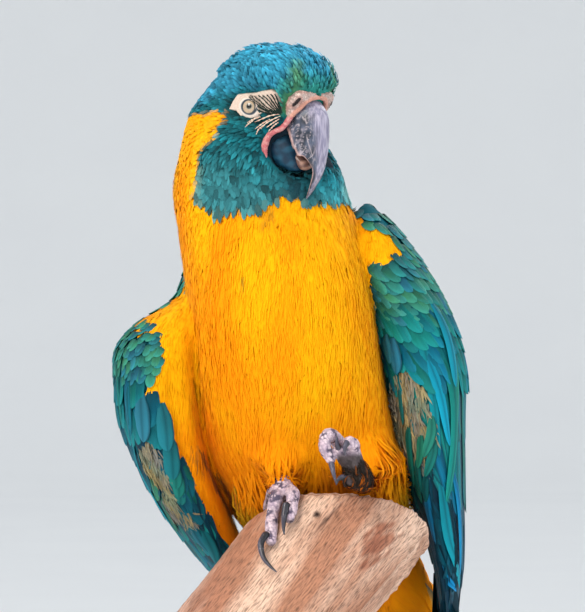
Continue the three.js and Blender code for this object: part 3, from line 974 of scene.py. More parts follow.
WING_LEFT = [
    [46, 26, 580, 12, 18], [50, 24, 562, 20, 32], [57, 28, 541, 28, 42], [72, 33, 511, 29, 48],
    [81, 36, 478, 29, 52], [85, 40, 440, 25, 52], [90, 46, 400, 20, 47], [97, 52, 362, 13, 41],
    [98.5, 58, 328, 9, 32], [98, 64, 300, 6, 22],
]
THIGH_RIGHT = [[-6, 10, 446, 22, 24], [-6, -10, 428, 22, 20], [-7, -26, 411, 12, 11]]
THIGH_LEFT = [[40, 10, 442, 21, 22], [42, -8, 424, 20, 20], [46, -24, 410, 12, 12]]
TAIL_COVERTS = [
    [0, 0, 34, 24, 20], [0, 0, -10, 27, 20], [0, 0, -60, 27, 16], [0, 0, -100, 25, 12], [0, 0, -124, 20, 9]
]


@dataclass
class Flesh:
    """The whole body under its feathers: unions of forms, inside the outline by the coat's depth.

    Attributes:
        body_coat: The coat's depth on the trunk.
        head_coat: Its depth on the head.
        wing_coat: Its depth on the wings.
    """

    body_coat: float = 5.0
    head_coat: float = 3.0
    wing_coat: float = 4.0

    def __post_init__(self) -> None:
        """Builds the unions for the head, the body, the wings and the whole skin."""
        h = self.head_coat
        tail_axes = np.array([TAIL_SIDE, TAIL_UNDER, -TAIL_AXIS])
        skull = [
            ((5, 0, 0.5), (40, 31, 36.5)),
            ((21, 0, 20), (25, 31, 21.5)),
            ((1, 0, -26), (31, 34.5, 32)),
        ]
        self.mouth = Ellipsoid(HEAD.place((38, 0, -22)), np.array([18.0, 17.0, 14.0]), HEAD.axes)
        self.skull = Union(
            [Ellipsoid(HEAD.place(at), np.array(size) - h, HEAD.axes) for at, size in skull]
            + [Loft(BODY, 4.0, 0.08, 0.14), Ellipsoid(np.array([-12, -6, 592]), np.array([44, 32, 30]) - h)],
            9.0,
        )
        self.head = Hollowed(self.skull, [self.mouth])
        parts = [
            Loft(FLANK, 3.0),
            Loft(THIGH_RIGHT, 2.5, 0.2, 0.3),
            Loft(THIGH_LEFT, 2.5, 0.2, 0.3),
            Loft(TAIL_COVERTS, 3.0, 0.2, 0.12, tuple(TAIL_ROOT), tail_axes),
        ]
        self.body = Union([self.head, Loft(BODY, self.body_coat, 0.08, 0.14), *parts], 7.0)
        self.wings = {
            Side.RIGHT: Loft(WING_RIGHT, self.wing_coat, 0.1, 0.1),
            Side.LEFT: Loft(WING_LEFT, self.wing_coat, 0.12, 0.2),
        }
        self.whole = Union([self.body, *self.wings.values()], 5.0)
        self.spine = Loft(BODY, 0.0, 0.02, 0.02)

    def round(self, points: Array) -> Array:
        """The angle round the body, 0 at the front and growing towards +X."""
        x, y, _, _ = np.moveaxis(self.spine.section(points[..., 2]), -1, 0)
        return np.arctan2(points[..., 0] - x, y - points[..., 1])

    def unwrap(self, points: Array, island: int = 0) -> Array:
        """Unwraps the skin's own shape: angle round the part across, height up.

        Args:
            points: Places on the skin.
            island: 0 for the body, 1 for the right wing, 2 for the left wing, 3 for the tail.

        Returns:
            A pair for each, with the body on the left three fifths of the square and the others beside it.
        """
        left, width = [(0.01, 0.55), (0.58, 0.18), (0.78, 0.19), (0.58, 0.18)][island]
        if island in (1, 2):
            x, y, _, _ = np.moveaxis(
                self.wings[(Side.RIGHT, Side.LEFT)[island - 1]].section(points[..., 2]), -1, 0
            )
            angle = np.arctan2(points[..., 0] - x, y - points[..., 1])
        else:
            angle = self.round(points)
        up = (points[..., 2] - 20) / 700
        return np.stack([left + width * (angle / TURN + 0.5), np.clip(up, 0.005, 0.99)], -1)


FLESH = Flesh()
# Outlines on the front elevation: X and Z in millimetres.
TEAL_HEAD = [
    (-88.3, 633.8), (-88.3, 700), (60, 700), (49.3, 637.5), (36.9, 612.7), (35.6, 589.8), (39.4, 581.7),
    (30.1, 577.4), (10.8, 577.4), (-6.5, 583.6), (-13.3, 578), (-27, 572.4), (-46.8, 573), (-56.1, 576.1),
    (-62.9, 583.6), (-58.6, 607.7), (-51, 620.1), (-45, 628.8), (-43.6, 637.3), (-66.7, 632.5),
]
BARE_FACE = [
    (-38.1, 637.7), (-35.6, 643.1), (-32.8, 647), (-27.6, 647.7), (-22, 648), (-17.1, 649.3), (-12.1, 649.9),
    (-8.1, 648), (-6.8, 643.7), (-7.1, 638.1), (-8.4, 635.3), (-13.3, 635.6), (-18.9, 634.7), (-22.6, 633.2),
    (-27.6, 632.2), (-31.3, 633.8), (-33.8, 636.9),
]
YELLOW_WING = [
    (-100.1, 508.5), (-82.2, 501.1), (-84, 494.9), (-82.2, 479.4), (-90.2, 467), (-83.4, 454.6), (-76, 442.2),
    (-72.2, 429.8), (-63.5, 411.2), (-58.6, 405), (-62.3, 392.6), (-54.2, 377.1), (-43.7, 367.8), (-25, 366),
    (-25, 520), (-60, 527), (-73, 521), (-80, 513),
]
YELLOW_SHOULDER = [
    (36, 566), (42, 568), (51.1, 567), (64.2, 558.1), (67, 549), (62, 542), (54.2, 539.5), (46.8, 539.5),
    (36.9, 545),
]
DOWN_PATCHES = [
    [
        (64, 476), (70, 479), (78, 470), (84, 452), (85, 436), (80, 424), (76, 420), (72, 424), (68, 438),
        (64, 456),
    ],
    [(-94, 432), (-88, 434), (-82.5, 424), (-80, 413), (-86, 414), (-91, 420)],
    [(-80, 408), (-76, 404), (-73, 393), (-76, 390), (-80, 398)],
    [(-67.5, 393), (-63.5, 391), (-63, 386), (-67, 385)],
]
BILL_BASE = HEAD.place((44, 0, -8))
CERE = [
    (-2.6, 635.4, 2.0), (-1.2, 640, 3.4), (0.9, 643.4, 4.2), (4.0, 645.8, 4.3), (7.8, 646.4, 3.2), (
        10.6, 646.4, 2.3
    ),
    (13.0, 646.4, 2.0),
]
MOUTH_SIDE = [
    (-2.5, 630), (-6.7, 626.6), (-10.5, 625), (-13.9, 622.9), (-16, 619.6), (-17, 615.8), (-16.5, 610),
    (-13, 605),
    (-8, 601), (-2, 603), (0, 618),
]
RIM = [(-3.2, 630.6), (-1.2, 633.2), (0.9, 636.2), (4.2, 639.2), (7.6, 643), (10.8, 645.0), (14.4, 645.6)]
GAPE = [
    (-3.2, 631.4, 1.5), (-4.6, 628.8, 1.8), (-6.75, 626.6, 1.8), (-10.5, 625.0, 1.7), (-13.9, 622.9, 1.9),
    (-16.0, 619.6, 2.2), (-17.2, 615.8, 2.3), (-17.4, 612.9, 1.9), (-16.7, 610.6, 1.2), (-16.2, 608.2, 0.6),
]


def strands_on_skull(line: list, radii: list, height: float) -> list[Strand]:
    """Strands for the right and left side, from a line on the front elevation that is laid on the skull."""
    path, _ = FLESH.skull.settle(cast(FLESH.skull, line), height, 2)
    return [Strand(path, np.array(radii)), Strand(HEAD.mirrored(path), np.array(radii))]


CERE_ROLLS = strands_on_skull([row[:2] for row in CERE], [row[2] for row in CERE], -0.2)
RIM_ROLLS = strands_on_skull(RIM, [1.5] * len(RIM), 1.6)
GAPE_ROLLS = strands_on_skull([row[:2] for row in GAPE], [row[2] for row in GAPE], 1.5)


@dataclass(frozen=True)
class Markings:
    """The species' colours over the whole skin, the same for skin and feathers, with some painted light and
    shade.

    Attributes:
        gold: The golden side of the breast.
        orange: Its orange side.
        crown: The blue of the crown.
        cheek: The dark teal of the cheeks.
        green: The forehead's green.
        throat: The grey-green throat.
        back: The blue back.
        touches: Where the breast turns green beside the legs, on the front elevation, and how wide.
        gaps: Painted shade: dark lines where its feathers part: both ends on the front elevation and half the
            width.
        specks: Small dark spots: the middle on the front elevation and the size across and up.
    """

    gold: str = "#ffb400"
    orange: str = "#ff9b00"
    crown: str = "#2c86a4"
    cheek: str = "#0f6670"
    green: str = "#2f8a78"
    throat: str = "#34757b"
    back: str = "#1b7896"
    touches: tuple = (((-28, 379), 9), ((75, 392), 11))
    gaps: tuple = (
        ((-57, 423), (-35, 379), 1.2), ((-43, 406), (-34, 387), 1.8), ((-60, 418), (-56, 409), 1.4)
    )
    specks: tuple = (((-13.6, 570), (2.2, 6)), ((-30.7, 527), (1.6, 3.2)), ((-18, 566), (1.5, 4)))

    def head_share(self, points: Array) -> Array:
        """How much a place belongs to the teal cap and bib, whose outline is mirrored on the far side."""
        local = HEAD.local(points)
        turned = np.abs(FLESH.round(points))
        far = (local[..., 1] < -12) & ((points[..., 2] > 612) | (turned > 1.75))
        drawn = np.where(far[..., None], HEAD.mirrored(points), points)
        inside = within(TEAL_HEAD, elevation(drawn)) + 1.3 * ripple(points, 9, 3)
        nape = np.interp(points[..., 2], [560, 600, 640], [2.1, 2.5, 2.45])
        behind = smooth(-0.12, 0.12, turned - nape) * smooth(575, 600, points[..., 2])
        return np.maximum(smooth(-1.5, 1.5, inside) * smooth(560, 568, points[..., 2]), behind)

    def mouth_share(self, points: Array) -> Array:
        """How much a place belongs to the bare corner of the mouth, mirrored on the far side; the skin is
        darkened there as painted shade.
        """
        local = HEAD.local(points)
        drawn = elevation(np.where(local[..., 1:2] > 0, points, HEAD.mirrored(points)))
        ahead = (local[..., 0] > 8) & (local[..., 2] < 2)
        return smooth(-0.4, 0.4, within(MOUTH_SIDE, drawn)) * ahead

    def back_share(self, points: Array) -> Array:
        """How much a place belongs to the blue back: over 115 degrees round and above the tail."""
        edge = np.interp(points[..., 2], [380, 560, 600], [1.95, 2.05, 2.5]) + 0.06 * ripple(points, 14, 5)
        body = smooth(-0.1, 0.1, np.abs(FLESH.round(points)) - edge)
        above_tail = smooth(1, -5, (points - TAIL_ROOT) @ TAIL_UNDER)
        return mix(body[..., None], above_tail[..., None], smooth(402, 390, points[..., 2]))[..., 0]

    def head_tint(self, points: Array) -> Array:
        """The cap: blue on top, green over the bill, dark teal cheeks, grey-green at the throat and rim;
        painted shadow under the bill and painted light on the throat's right and on the top of the head.
        """
        local = HEAD.local(points)
        border = np.interp(local[..., 0], [-45, -30, -17, -2, 20, 40], [-28, -14, -2, 8, 13, 15])
        high = smooth(-6, 7, local[..., 2] - border + 4 * ripple(points, 16, 8))
        base = mix(linear(self.cheek), linear(self.crown), high)
        near_cere = smooth(17, 5, Union(CERE_ROLLS, 1.0).distance(points) + 3 * ripple(points, 9, 17))
        base = mix(base, linear(self.green), near_cere * (local[..., 2] > 0) * 0.85)
        face = within(BARE_FACE, elevation(np.where(local[..., 1:2] > 0, points, HEAD.mirrored(points))))
        under = smooth(-10, -2, face) * smooth(4, -3, local[..., 2]) * (local[..., 0] > -22)
        base = mix(base, linear("#0d3a3c"), 0.75 * under)
        low = smooth(-24, -52, local[..., 2] + 4 * ripple(points, 18, 9))
        base = mix(base, linear(self.throat), 0.75 * low)
        rim = smooth(7, 1, within(TEAL_HEAD, elevation(points))) * (points[..., 2] < 600)
        base = mix(base, linear("#7fa392"), 0.5 * rim)
        drawn = elevation(points)
        # Painted shadow under the bill.
        shaded = bell(np.linalg.norm((drawn - np.array([2.5, 590])) / np.array([13, 8]), axis=-1))
        shaded = shaded * (points[..., 1] < 10)
        base = mix(base, linear("#0b2a36"), 0.8 * shaded)
        # Painted light on the right of the throat, which lies in shade.
        lit = smooth(10, 26, drawn[..., 0]) * smooth(625, 600, drawn[..., 1]) * (points[..., 1] < 20)
        base = base * (1 + 0.7 * lit)[..., None]
        lores = bell((np.abs(local[..., 1]) - 17) / 5) * bell((local[..., 0] - 36) / 6) * (local[..., 2] > 2)
        base = mix(base, linear("#4d7a45"), 0.8 * lores)
        # Painted light: the top of the head is lightened as if lit from above.
        top = smooth(18, 36, local[..., 2])
        base = base * (1 + 0.35 * top)[..., None]
        cheek = smooth(8, -6, local[..., 2])
        swell = (0.2 + 0.22 * cheek) * ripple(points, 7, 10) + 0.16 * ripple(points, 3, 15)
        return base * np.maximum(1 + swell, 0.35)[..., None]

    def breast_tint(self, points: Array) -> Array:
        """Orange to gold in slow swells, darker on the left flank, touched with green by the legs, with
        painted shade where the feathers part and at the bottom by the log.
        """
        drawn = elevation(points)
        streaks = np.array([1, 1, 0.35])
        lean = 0.016 * (-drawn[..., 0] - 18) + 0.012 * (470 - drawn[..., 1]) * (drawn[..., 1] < 470)
        lean = lean - 1.1 * smooth(-46, -58, drawn[..., 0])
        warm = smooth(-0.9, 1.1, 0.8 * ripple(points * streaks, 34, 11) + lean)
        base = mix(linear(self.gold), linear(self.orange), warm)
        low = smooth(452, 425, drawn[..., 1]) + 0.8 * smooth(22, 60, drawn[..., 0]) * smooth(
            560, 500, drawn[..., 1]
        )
        base = mix(base, linear("#ff9000"), 0.6 * np.clip(low + 0.2 * ripple(points * streaks, 14, 16), 0, 1))
        for at, size in self.touches:
            near = bell(np.linalg.norm((drawn - np.array(at)) / size, axis=-1))
            base = mix(base, linear("#a9b02a"), 0.6 * near)
        # Painted shade: dark lines where the feathers part.
        for start, end, wide in self.gaps:
            run = np.array(end) - np.array(start)
            share = np.clip((drawn - np.array(start)) @ run / (run @ run), 0, 1)
            off = np.linalg.norm(drawn - np.array(start) - run * share[..., None], axis=-1)
            base = mix(base, linear("#43362c"), 0.8 * bell(off / wide) * (points[..., 1] < 50))
        for at, size in self.specks:
            near = bell(np.linalg.norm((drawn - np.array(at)) / np.array(size), axis=-1))
            base = mix(base, linear("#6a5522"), 0.65 * near)
        # Painted shade: the bottom of the breast by the log is darkened to brown.
        rim = smooth(414, 400, drawn[..., 1]) * smooth(10, 24, drawn[..., 0]) * smooth(62, 50, drawn[..., 0])
        base = mix(base, linear("#a8540c"), 0.5 * rim)
        return base * (1 + 0.03 * ripple(points * streaks, 5, 12))[..., None]

    def plumage(self, points: Array) -> Array:
        """The colour of the body's plumage at any place."""
        back = linear(self.back) * (1 + 0.12 * ripple(points, 12, 13))[..., None]
        body = mix(self.breast_tint(points), back, self.back_share(points))
        return mix(body, self.head_tint(points), self.head_share(points))


MARKINGS = Markings()


# ---- Feathers ----------------------------------------------------------------------------------------------


@dataclass(frozen=True)
class Cut:
    """How one kind of feather is shaped.

    Attributes:
        rows: Points along it.
        cols: Points across it.
        lift: How far its tip stands off the skin, as a share of its length.
        camber: How far its edges drop, as a share of its half width.
        fray: How ragged its tip is, as a share of its length.
        tip: The share of its length over which its end is rounded.
        rounded: How far its edges lag behind the shaft at the tip, in half widths.
        roll: How far it is turned at random about its shaft, in radians.
        sunk: How deep its root lies, in millimetres.
    """

    rows: int = 5
    cols: int = 5
    lift: float = 0.05
    camber: float = 0.2
    fray: float = 0.06
    tip: float = 0.5
    rounded: float = 0.2
    roll: float = 0.12
    sunk: float = 1.0

    def stations(self) -> Array:
        """Where the rows lie along the feather, closer together towards the tip: 1 - (1 - s)^1.7."""
        return 1 - (1 - np.linspace(0, 1, self.rows)) ** 1.7

    def grid(self) -> tuple[Array, Array]:
        """How far each point lies along its feather, 0 to 1, and across it, -1 to 1, by row and column."""
        return tuple(np.meshgrid(self.stations(), np.linspace(-1, 1, self.cols), indexing="ij"))

    def width(self, u: Array) -> Array:
        """The half width's share along it: it swells from 0.45 at the root and ends in half an ellipse."""
        end = np.clip((u - 1 + self.tip) / self.tip, 0, 0.995)
        return (0.45 + 0.55 * smooth(0, 0.35, u)) * np.sqrt(1 - end * end)


@dataclass
class Plumes:
    """A batch of feathers of one cut.

    Attributes:
        points: Places, by feather, row and column.
        tint: Colours.
        chart: Millimetres across and along each feather, for its barbs.
        unwrap: Each feather's patch on the skin's unwrap.
    """

    points: Array
    tint: Array
    chart: Array
    unwrap: Array

    def faces(self) -> Array:
        """Quads over the feathers, counted from nought, that face away from the body."""
        count, rows, cols = self.points.shape[:3]
        return grid_faces(count, rows, cols)[:, ::-1]


def grow(
    form: Form, roots: Array, lie: Array, length: Array, width: Array, cut: Cut, layer: Array | float,
    seed: int,
    tilt: float = 0.0,
) -> tuple[Array, Array]:
    """Grows feathers along a form.

    Each spine starts under the skin and walks along the lie; after each step it is settled to
    layer + lift * length * u^1.5 above the form. The vane is laid across it as spine + side * w(u) * x,
    with its edges dropped by camber * w * x^2 and drawn back by rounded * w(u) * x^2 * u^3.

    Args:
        form: What they lie on.
        roots: Where they start.
        lie: Which way they point.
        length: How long each is.
        width: How wide each is to either side of its shaft.
        cut: Their shape.
        layer: How high each lies above the form.
        seed: Which random numbers roll and fray them.
        tilt: How far each is turned about its shaft, so that it lies over one neighbour, in radians.

    Returns:
        The points by feather, row and column, and the chart of millimetres across and along.
    """
    rng = np.random.default_rng(seed)
    u = cut.stations()
    here, normal = form.settle(roots, 0.0, 2)
    way = unit(lie - (lie * normal).sum(-1, keepdims=True) * normal)
    here = here - normal * cut.sunk
    spine, over, along = [here], [normal], [way]
    for k in range(1, cut.rows):
        here = here + way * (length * (u[k] - u[k - 1]))[:, None]
        here, normal = form.settle(here, layer + cut.lift * length * u[k] ** 1.5)
        way = unit(way - (way * normal).sum(-1, keepdims=True) * normal)
        spine.append(here)
        over.append(normal)
        along.append(way)
    spine, over, along = (np.stack(rows, 1) for rows in (spine, over, along))
    roll = rng.normal(tilt, cut.roll, len(roots))[:, None, None]
    side = np.cross(along, over) * np.cos(roll) + over * np.sin(roll)
    return lay_vanes(spine, side, over, along, length, width, cut, rng)


def lay_vanes(
    spine: Array, side: Array, over: Array, along: Array, length: Array, width: Array, cut: Cut,
    rng: np.random.Generator,
) -> tuple[Array, Array]:
    """Lays vanes across spines.

    Args:
        spine: Points of the shafts, by feather and row.
        side: The directions across them.
        over: The directions out of them.
        along: The directions along them.
        length: How long each feather is.
        width: How wide each is to either side.
        cut: Their shape.
        rng: The random numbers that fray their tips.

    Returns:
        The points by feather, row and column, and the chart of millimetres across and along.
    """
    u = cut.stations()
    x = np.linspace(-1, 1, cut.cols)
    half = width[:, None] * cut.width(u)
    teeth = np.where(np.arange(cut.cols) % 2 == 0, -1.0, 1.0) * (0.4 + rng.random((len(spine), cut.cols)))
    ragged = cut.fray * length[:, None, None] * teeth[:, None] * (1 - x**2) * (u**6)[None, :, None]
    back = cut.rounded * half[..., None] * x**2 * (u**3)[None, :, None]
    points = (
        spine[:, :, None]
        + side[:, :, None] * (half[..., None] * x)[..., None]
        - over[:, :, None] * (cut.camber * half[..., None] * x**2)[..., None]
        + along[:, :, None] * (ragged - back)[..., None]
    )
    across = half[..., None] * x
    down = np.broadcast_to((length[:, None] * u)[..., None], across.shape)
    return points, np.stack([across, down], -1)


def patches(roots: Array, cut: Cut, island: int) -> Array:
    """Each feather's patch on the skin's unwrap: its rows and columns over a small square at its root."""
    v, h = np.meshgrid(np.linspace(-0.5, 0.5, cut.rows), np.linspace(-0.5, 0.5, cut.cols), indexing="ij")
    return FLESH.unwrap(roots, island)[:, None, None] + UNWRAP_PATCH * np.stack([h, v], -1)


def soften(piece: Thing, points: Array, share: float) -> None:
    """Turns the shading normals towards the body's own: unit((1 - share) normal + share gradient)."""
    own = np.empty(3 * len(points), np.float32)
    piece.data.vertex_normals.foreach_get("vector", own)
    _, out = FLESH.whole.settle(points)
    turned = unit(mix(own.reshape(-1, 3), out, np.full(len(points), share)))
    piece.data.normals_split_custom_set_from_vertices(turned.astype(np.float32))


def feather_piece(
    name: str, batches: list[Plumes], finish: Finish, stands_for: tuple = (), soft: float = 0.0
) -> None:
    """Joins batches of feathers into one piece with the maps Barb and OFBake, and softens its shading."""
    points, tints, charts, unwraps, faces, start = [], [], [], [], [], 0
    for batch in batches:
        points.append(batch.points.reshape(-1, 3))
        tints.append(batch.tint.reshape(-1, 3))
        charts.append(batch.chart.reshape(-1, 2))
        unwraps.append(batch.unwrap.reshape(-1, 2))
        faces.append(batch.faces() + start)
        start += len(points[-1])
    piece = make_mesh(
        name, np.concatenate(points), np.concatenate(faces), np.concatenate(tints),
        {"Barb": np.concatenate(charts), "OFBake": np.concatenate(unwraps)},
    )
    if soft > 0:
        soften(piece, np.concatenate(points), soft)
    finish_piece(piece, finish, stands_for)


@dataclass
class Skin:
    """The one skin under the feathers.

    Attributes:
        pitch: The net's spacing.
        low: The grid's lowest corner.
        high: Its highest corner.
    """

    pitch: float = 2.4
    low: tuple = (-122, -62, 262)
    high: tuple = (122, 142, 690)

    def build(self) -> None:
        """Nets the whole flesh, colours it with the markings and lets it stand for the flesh nodes."""
        self.points, self.quads = net(FLESH.whole, np.array(self.low), np.array(self.high), self.pitch)
        on_wing, _ = self.wing_share(self.points)
        tint = mix(MARKINGS.plumage(self.points), linear("#0d5a66"), on_wing)
        # Painted shade: the mouth's hollow and the bare corner of the mouth are darkened.
        dark = np.maximum(
            smooth(1.0, 0.2, FLESH.mouth.distance(self.points)), MARKINGS.mouth_share(self.points)
        )
        tint = mix(tint, linear("#15242f"), dark)
        piece = make_mesh("skin", self.points, self.quads, tint * 0.95)
        finish_piece(
            piece, BODY_SKIN,
            ("head", "neck", "trunk", "flank_right", "thigh_right", "thigh_left", "tail_coverts",
             "wing_right_coverts", "wing_left_coverts"),
        )

    @staticmethod
    def wing_share(points: Array) -> tuple[Array, Array]:
        """Tells the wings from the body.

        Args:
            points: Places on the skin.

        Returns:
            One on a wing and nought elsewhere, and the number of the wing, 1 for right and 2 for left.
        """
        body = FLESH.body.distance(points)
        right = FLESH.wings[Side.RIGHT].distance(points)
        left = FLESH.wings[Side.LEFT].distance(points)
        drawn = elevation(points)
        front = points[..., 1] < 30
        yellow = front & ((within(YELLOW_WING, drawn) > 0) | (within(YELLOW_SHOULDER, drawn) > 0))
        return ((np.minimum(right, left) < body) & ~yellow).astype(float), np.where(right < left, 1, 2)

    def scatter(self, count: int, seed: int) -> Array:
        """Scatters points evenly over the skin.

        Args:
            count: How many.
            seed: Which random numbers.

        Returns:
            The points, each on a quad that is drawn by its area.
        """
        rng = np.random.default_rng(seed)
        a, b, c, d = (self.points[self.quads[:, i]] for i in range(4))
        area = np.linalg.norm(np.cross(c - a, d - b), axis=1)
        pick = rng.choice(len(area), count, p=area / area.sum())
        s, t = rng.random((2, count, 1))
        return (a[pick] * (1 - s) + b[pick] * s) * (1 - t) + (d[pick] * (1 - s) + c[pick] * s) * t

    def area(self) -> float:
        """The skin's area in square millimetres."""
        a, b, c, d = (self.points[self.quads[:, i]] for i in range(4))
        return float(np.linalg.norm(np.cross(c - a, d - b), axis=1).sum() / 2)


def lie_of(points: Array) -> Array:
    """The lie of the plumage.

    Away from the bill's base over the head, straight down the body, with slow swells sideways.

    Args:
        points: Places on the skin.

    Returns:
        A direction for each.
    """
    away = unit(points - BILL_BASE)
    down = np.array([0.0, 0.0, -1.0]) + 0 * points
    down[..., 0] += 0.1 * ripple(points, 50, 21)
    thigh = smooth(30, 10, np.linalg.norm(points - np.array([-6, -20, 418]), axis=-1))
    down[..., 1] -= 0.5 * thigh
    head = smooth(592, 632, points[..., 2])[..., None]
    away[..., 2] -= 0.15
    return unit(away * head + down * (1 - head))


@dataclass
class Coat:
    """The contour feathers of head and body.

    Attributes:
        skin: The skin they are rooted in.
        cover: How many feathers lie over each point of the skin.
        feathers: How many places the feathers are picked from.
        wisps: How many places the loose barbs are picked from.
        hems: How many places the belly's long fringe is picked from.
        vane: The cut of breast, neck and belly feathers.
        lobe: The cut of the bib's feathers.
        tuft: The cut of the head's feathers.
        skirt: The cut of the belly's fringe.
        wisp: The cut of the loose barbs.
    """

    skin: Skin
    cover: float = 6.5
    feathers: int = 90000
    wisps: int = 46000
    hems: int = 60000
    vane: Cut = Cut(5, 5, 0.012, 0.05, 0.05, 0.55, 0.25, 0.03)
    lobe: Cut = Cut(6, 5, 0.05, 0.2, 0.05, 0.6, 0.1, 0.1)
    tuft: Cut = Cut(5, 3, 0.075, 0.25, 0.05, 0.5, 0.2, 0.2, 0.8)
    skirt: Cut = Cut(8, 3, 0.42, 0.1, 0.04, 0.6, 0.2, 0.05)
    wisp: Cut = Cut(4, 2, 0.03, 0.0, 0.0, 0.6, 0.0, 0.03)

    @staticmethod
    def length_at(points: Array) -> Array:
        """Feather length: 26 mm on the belly, falling to 8 mm on the head and 3 mm at the bill."""
        base = np.interp(points[..., 2], [340, 400, 520, 570, 600, 620, 660], [26, 25, 23, 17, 11, 8.5, 7.5])
        near = np.linalg.norm(points - BILL_BASE, axis=-1)
        local = HEAD.local(points)
        share = np.interp(near, [12, 26, 45, 75], [0.4, 0.55, 0.85, 1.0])
        tail = smooth(60, 75, points[..., 1]) * smooth(400, 380, points[..., 2])
        on_wing = 0.5 * ((points[..., 0] < -50) | (points[..., 0] > 42)) * smooth(455, 480, points[..., 2])
        return base * np.where(local[..., 2] > -60, share, 1.0) * (1 + 0.5 * tail) * (1 - on_wing)

    def open_skin(self, points: Array) -> Array:
        """Where body feathers may grow: off the wings, the bare face, the bill and the eyes."""
        on_wing, _ = self.skin.wing_share(points)
        local = HEAD.local(points)
        facing = local[..., 0] > -10
        near = within(BARE_FACE, elevation(np.where(local[..., 1:2] > 0, points, HEAD.mirrored(points))))
        bill = (np.abs(local[..., 1]) < 14) & (local[..., 0] > 35) & (local[..., 2] < 15) & (
            local[..., 2] > -40
        )
        soft = np.min([roll.distance(points) for roll in (*CERE_ROLLS, *RIM_ROLLS, *GAPE_ROLLS)], axis=0)
        mouth = (MARKINGS.mouth_share(points) > 0.5) | (FLESH.mouth.distance(points) < 0.4)
        bare = bill | mouth | (soft < 0.5)
        on_head = points[..., 2] > 602
        return (on_wing < 0.5) & ~(on_head & facing & ((near > -0.1) | bare))

    def batch(
        self, roots: Array, cut: Cut, length: Array, width: Array, layer: Array, seed: int, row: int = -2
    ) -> Plumes:
        """Grows one batch on the whole skin and marks it.

        Args:
            roots: Where the feathers start.
            cut: Their shape.
            length: Their lengths.
            width: Their half widths.
            layer: How high each lies.
            seed: Which random numbers.
            row: The row whose place gives the colour.

        Returns:
            The feathers, with painted shade towards their roots and a little unlike each other.
        """
        rng = np.random.default_rng(seed)
        lie = lie_of(roots) + rng.normal(0, 0.13, roots.shape)
        lie[:, 0] += 1.2 * smooth(50, 64, roots[:, 0]) * smooth(440, 412, roots[:, 2])
        lie[:, 0] -= 0.2 * smooth(-14, -26, roots[:, 0]) * smooth(424, 410, roots[:, 2])
        points, chart = grow(FLESH.whole, roots, lie, length, width, cut, layer, seed)
        base = MARKINGS.plumage(points[:, row].mean(1))
        head = (smooth(585, 600, roots[:, 2]) * MARKINGS.head_share(roots))[:, None, None]
        # Painted shade: each feather darkens towards its root, where the feathers over it overlap it.
        low, spread = 0.97 - 0.49 * head, 0.02 + (0.08 if cut is self.lobe else 0.14) * head
        shade = low + (1.02 + 0.12 * head - low) * smooth(0, 0.85, cut.grid()[0])
        shade = shade * np.maximum(1 + spread * rng.normal(size=(len(roots), 1, 1)), 0.4)
        shade = shade * (1 + 0.4 * spread * rng.normal(size=(len(roots), 1, cut.cols)))
        tint = base[:, None, None] * shade[..., None]
        return Plumes(points, tint, chart, patches(roots, cut, 0))

    def build(self) -> None:
        """Grows head tufts, body vanes and fine wisps, and joins them by the height of their roots."""
        roots = self.skin.scatter(self.feathers, 31)
        roots = roots[self.open_skin(roots)]
        rng = np.random.default_rng(32)
        length = self.length_at(roots) * rng.uniform(0.8, 1.2, len(roots))
        small = (roots[:, 2] > 598) & (MARKINGS.head_share(roots) > 0.5)
        width = np.where(small, 0.1, 0.14) * length + 0.3
        each = self.skin.area() / self.feathers
        chance = np.where(small, 1.1, 1.0) * self.cover * each / (1.3 * length * width)
        keep = rng.random(len(roots)) < chance
        roots, length, width, small = roots[keep], length[keep], width[keep], small[keep]
        shag = np.where(
            small, 1.8 * smooth(0.15, 0.8, ripple(roots, 8, 34)) * (HEAD.local(roots)[:, 2] > 12), 0
        )
        layer = rng.uniform(0.3, np.where(small, 1.9, 1.1)) + shag
        bib = ~small & (MARKINGS.head_share(roots - np.array([0, 0, 6])) > 0.5) & (roots[:, 2] > 566)
        length, width = np.where(bib, 0.78 * length, length), np.where(bib, 1.9, width)
        layer = np.where(bib, layer + 1.3, layer)
        breast = np.abs(roots[:, 2] - 522.5) < 52.5
        names = [
            ("head_feathers", small, self.tuft, HEAD_DOWN, "plumage_head"),
            ("bib_feathers", bib, self.lobe, HEAD_DOWN, "plumage_head"),
            ("neck_feathers", ~small & ~bib & (roots[:, 2] > 575), self.vane, SOFT_DOWN, "plumage_breast"),
            ("breast_feathers", ~small & ~bib & breast, self.vane, SOFT_DOWN, "plumage_breast"),
            ("belly_feathers", ~small & (roots[:, 2] <= 470), self.vane, SOFT_DOWN, "plumage_breast"),
        ]
        for i, (name, mine, cut, finish, slot) in enumerate(names):
            row = 1 if cut is self.lobe else -2
            batch = self.batch(roots[mine], cut, length[mine], width[mine], layer[mine], 40 + i, row)
            feather_piece(name, [batch], finish, soft=0.3 if slot == "plumage_head" else 0.8)
        loose = self.skin.scatter(self.wisps, 33)
        loose = loose[self.open_skin(loose) & (loose[:, 2] < 604)]
        length = self.length_at(loose) * rng.uniform(0.5, 0.85, len(loose))
        width = rng.uniform(0.25, 0.5, len(loose))
        batch = self.batch(loose, self.wisp, length, width, rng.uniform(1.0, 1.7, len(loose)), 50)
        feather_piece("breast_wisps", [batch], SOFT_DOWN, soft=0.8)
        hem = self.skin.scatter(self.hems, 53)
        drawn = elevation(hem)
        reach = np.interp(
            drawn[:, 0], [-40, -20, -12, 2, 10, 45, 60, 78], [404, 410, 416, 416, 410, 406, 404, 402]
        )
        band = (hem[:, 1] < 14) & (np.abs(drawn[:, 1] - reach - 4) < 6) & (np.abs(drawn[:, 0] - 18) < 56)
        flank = (hem[:, 1] < 40) & (hem[:, 0] > 50) & (np.abs(hem[:, 2] - 418) < 20)
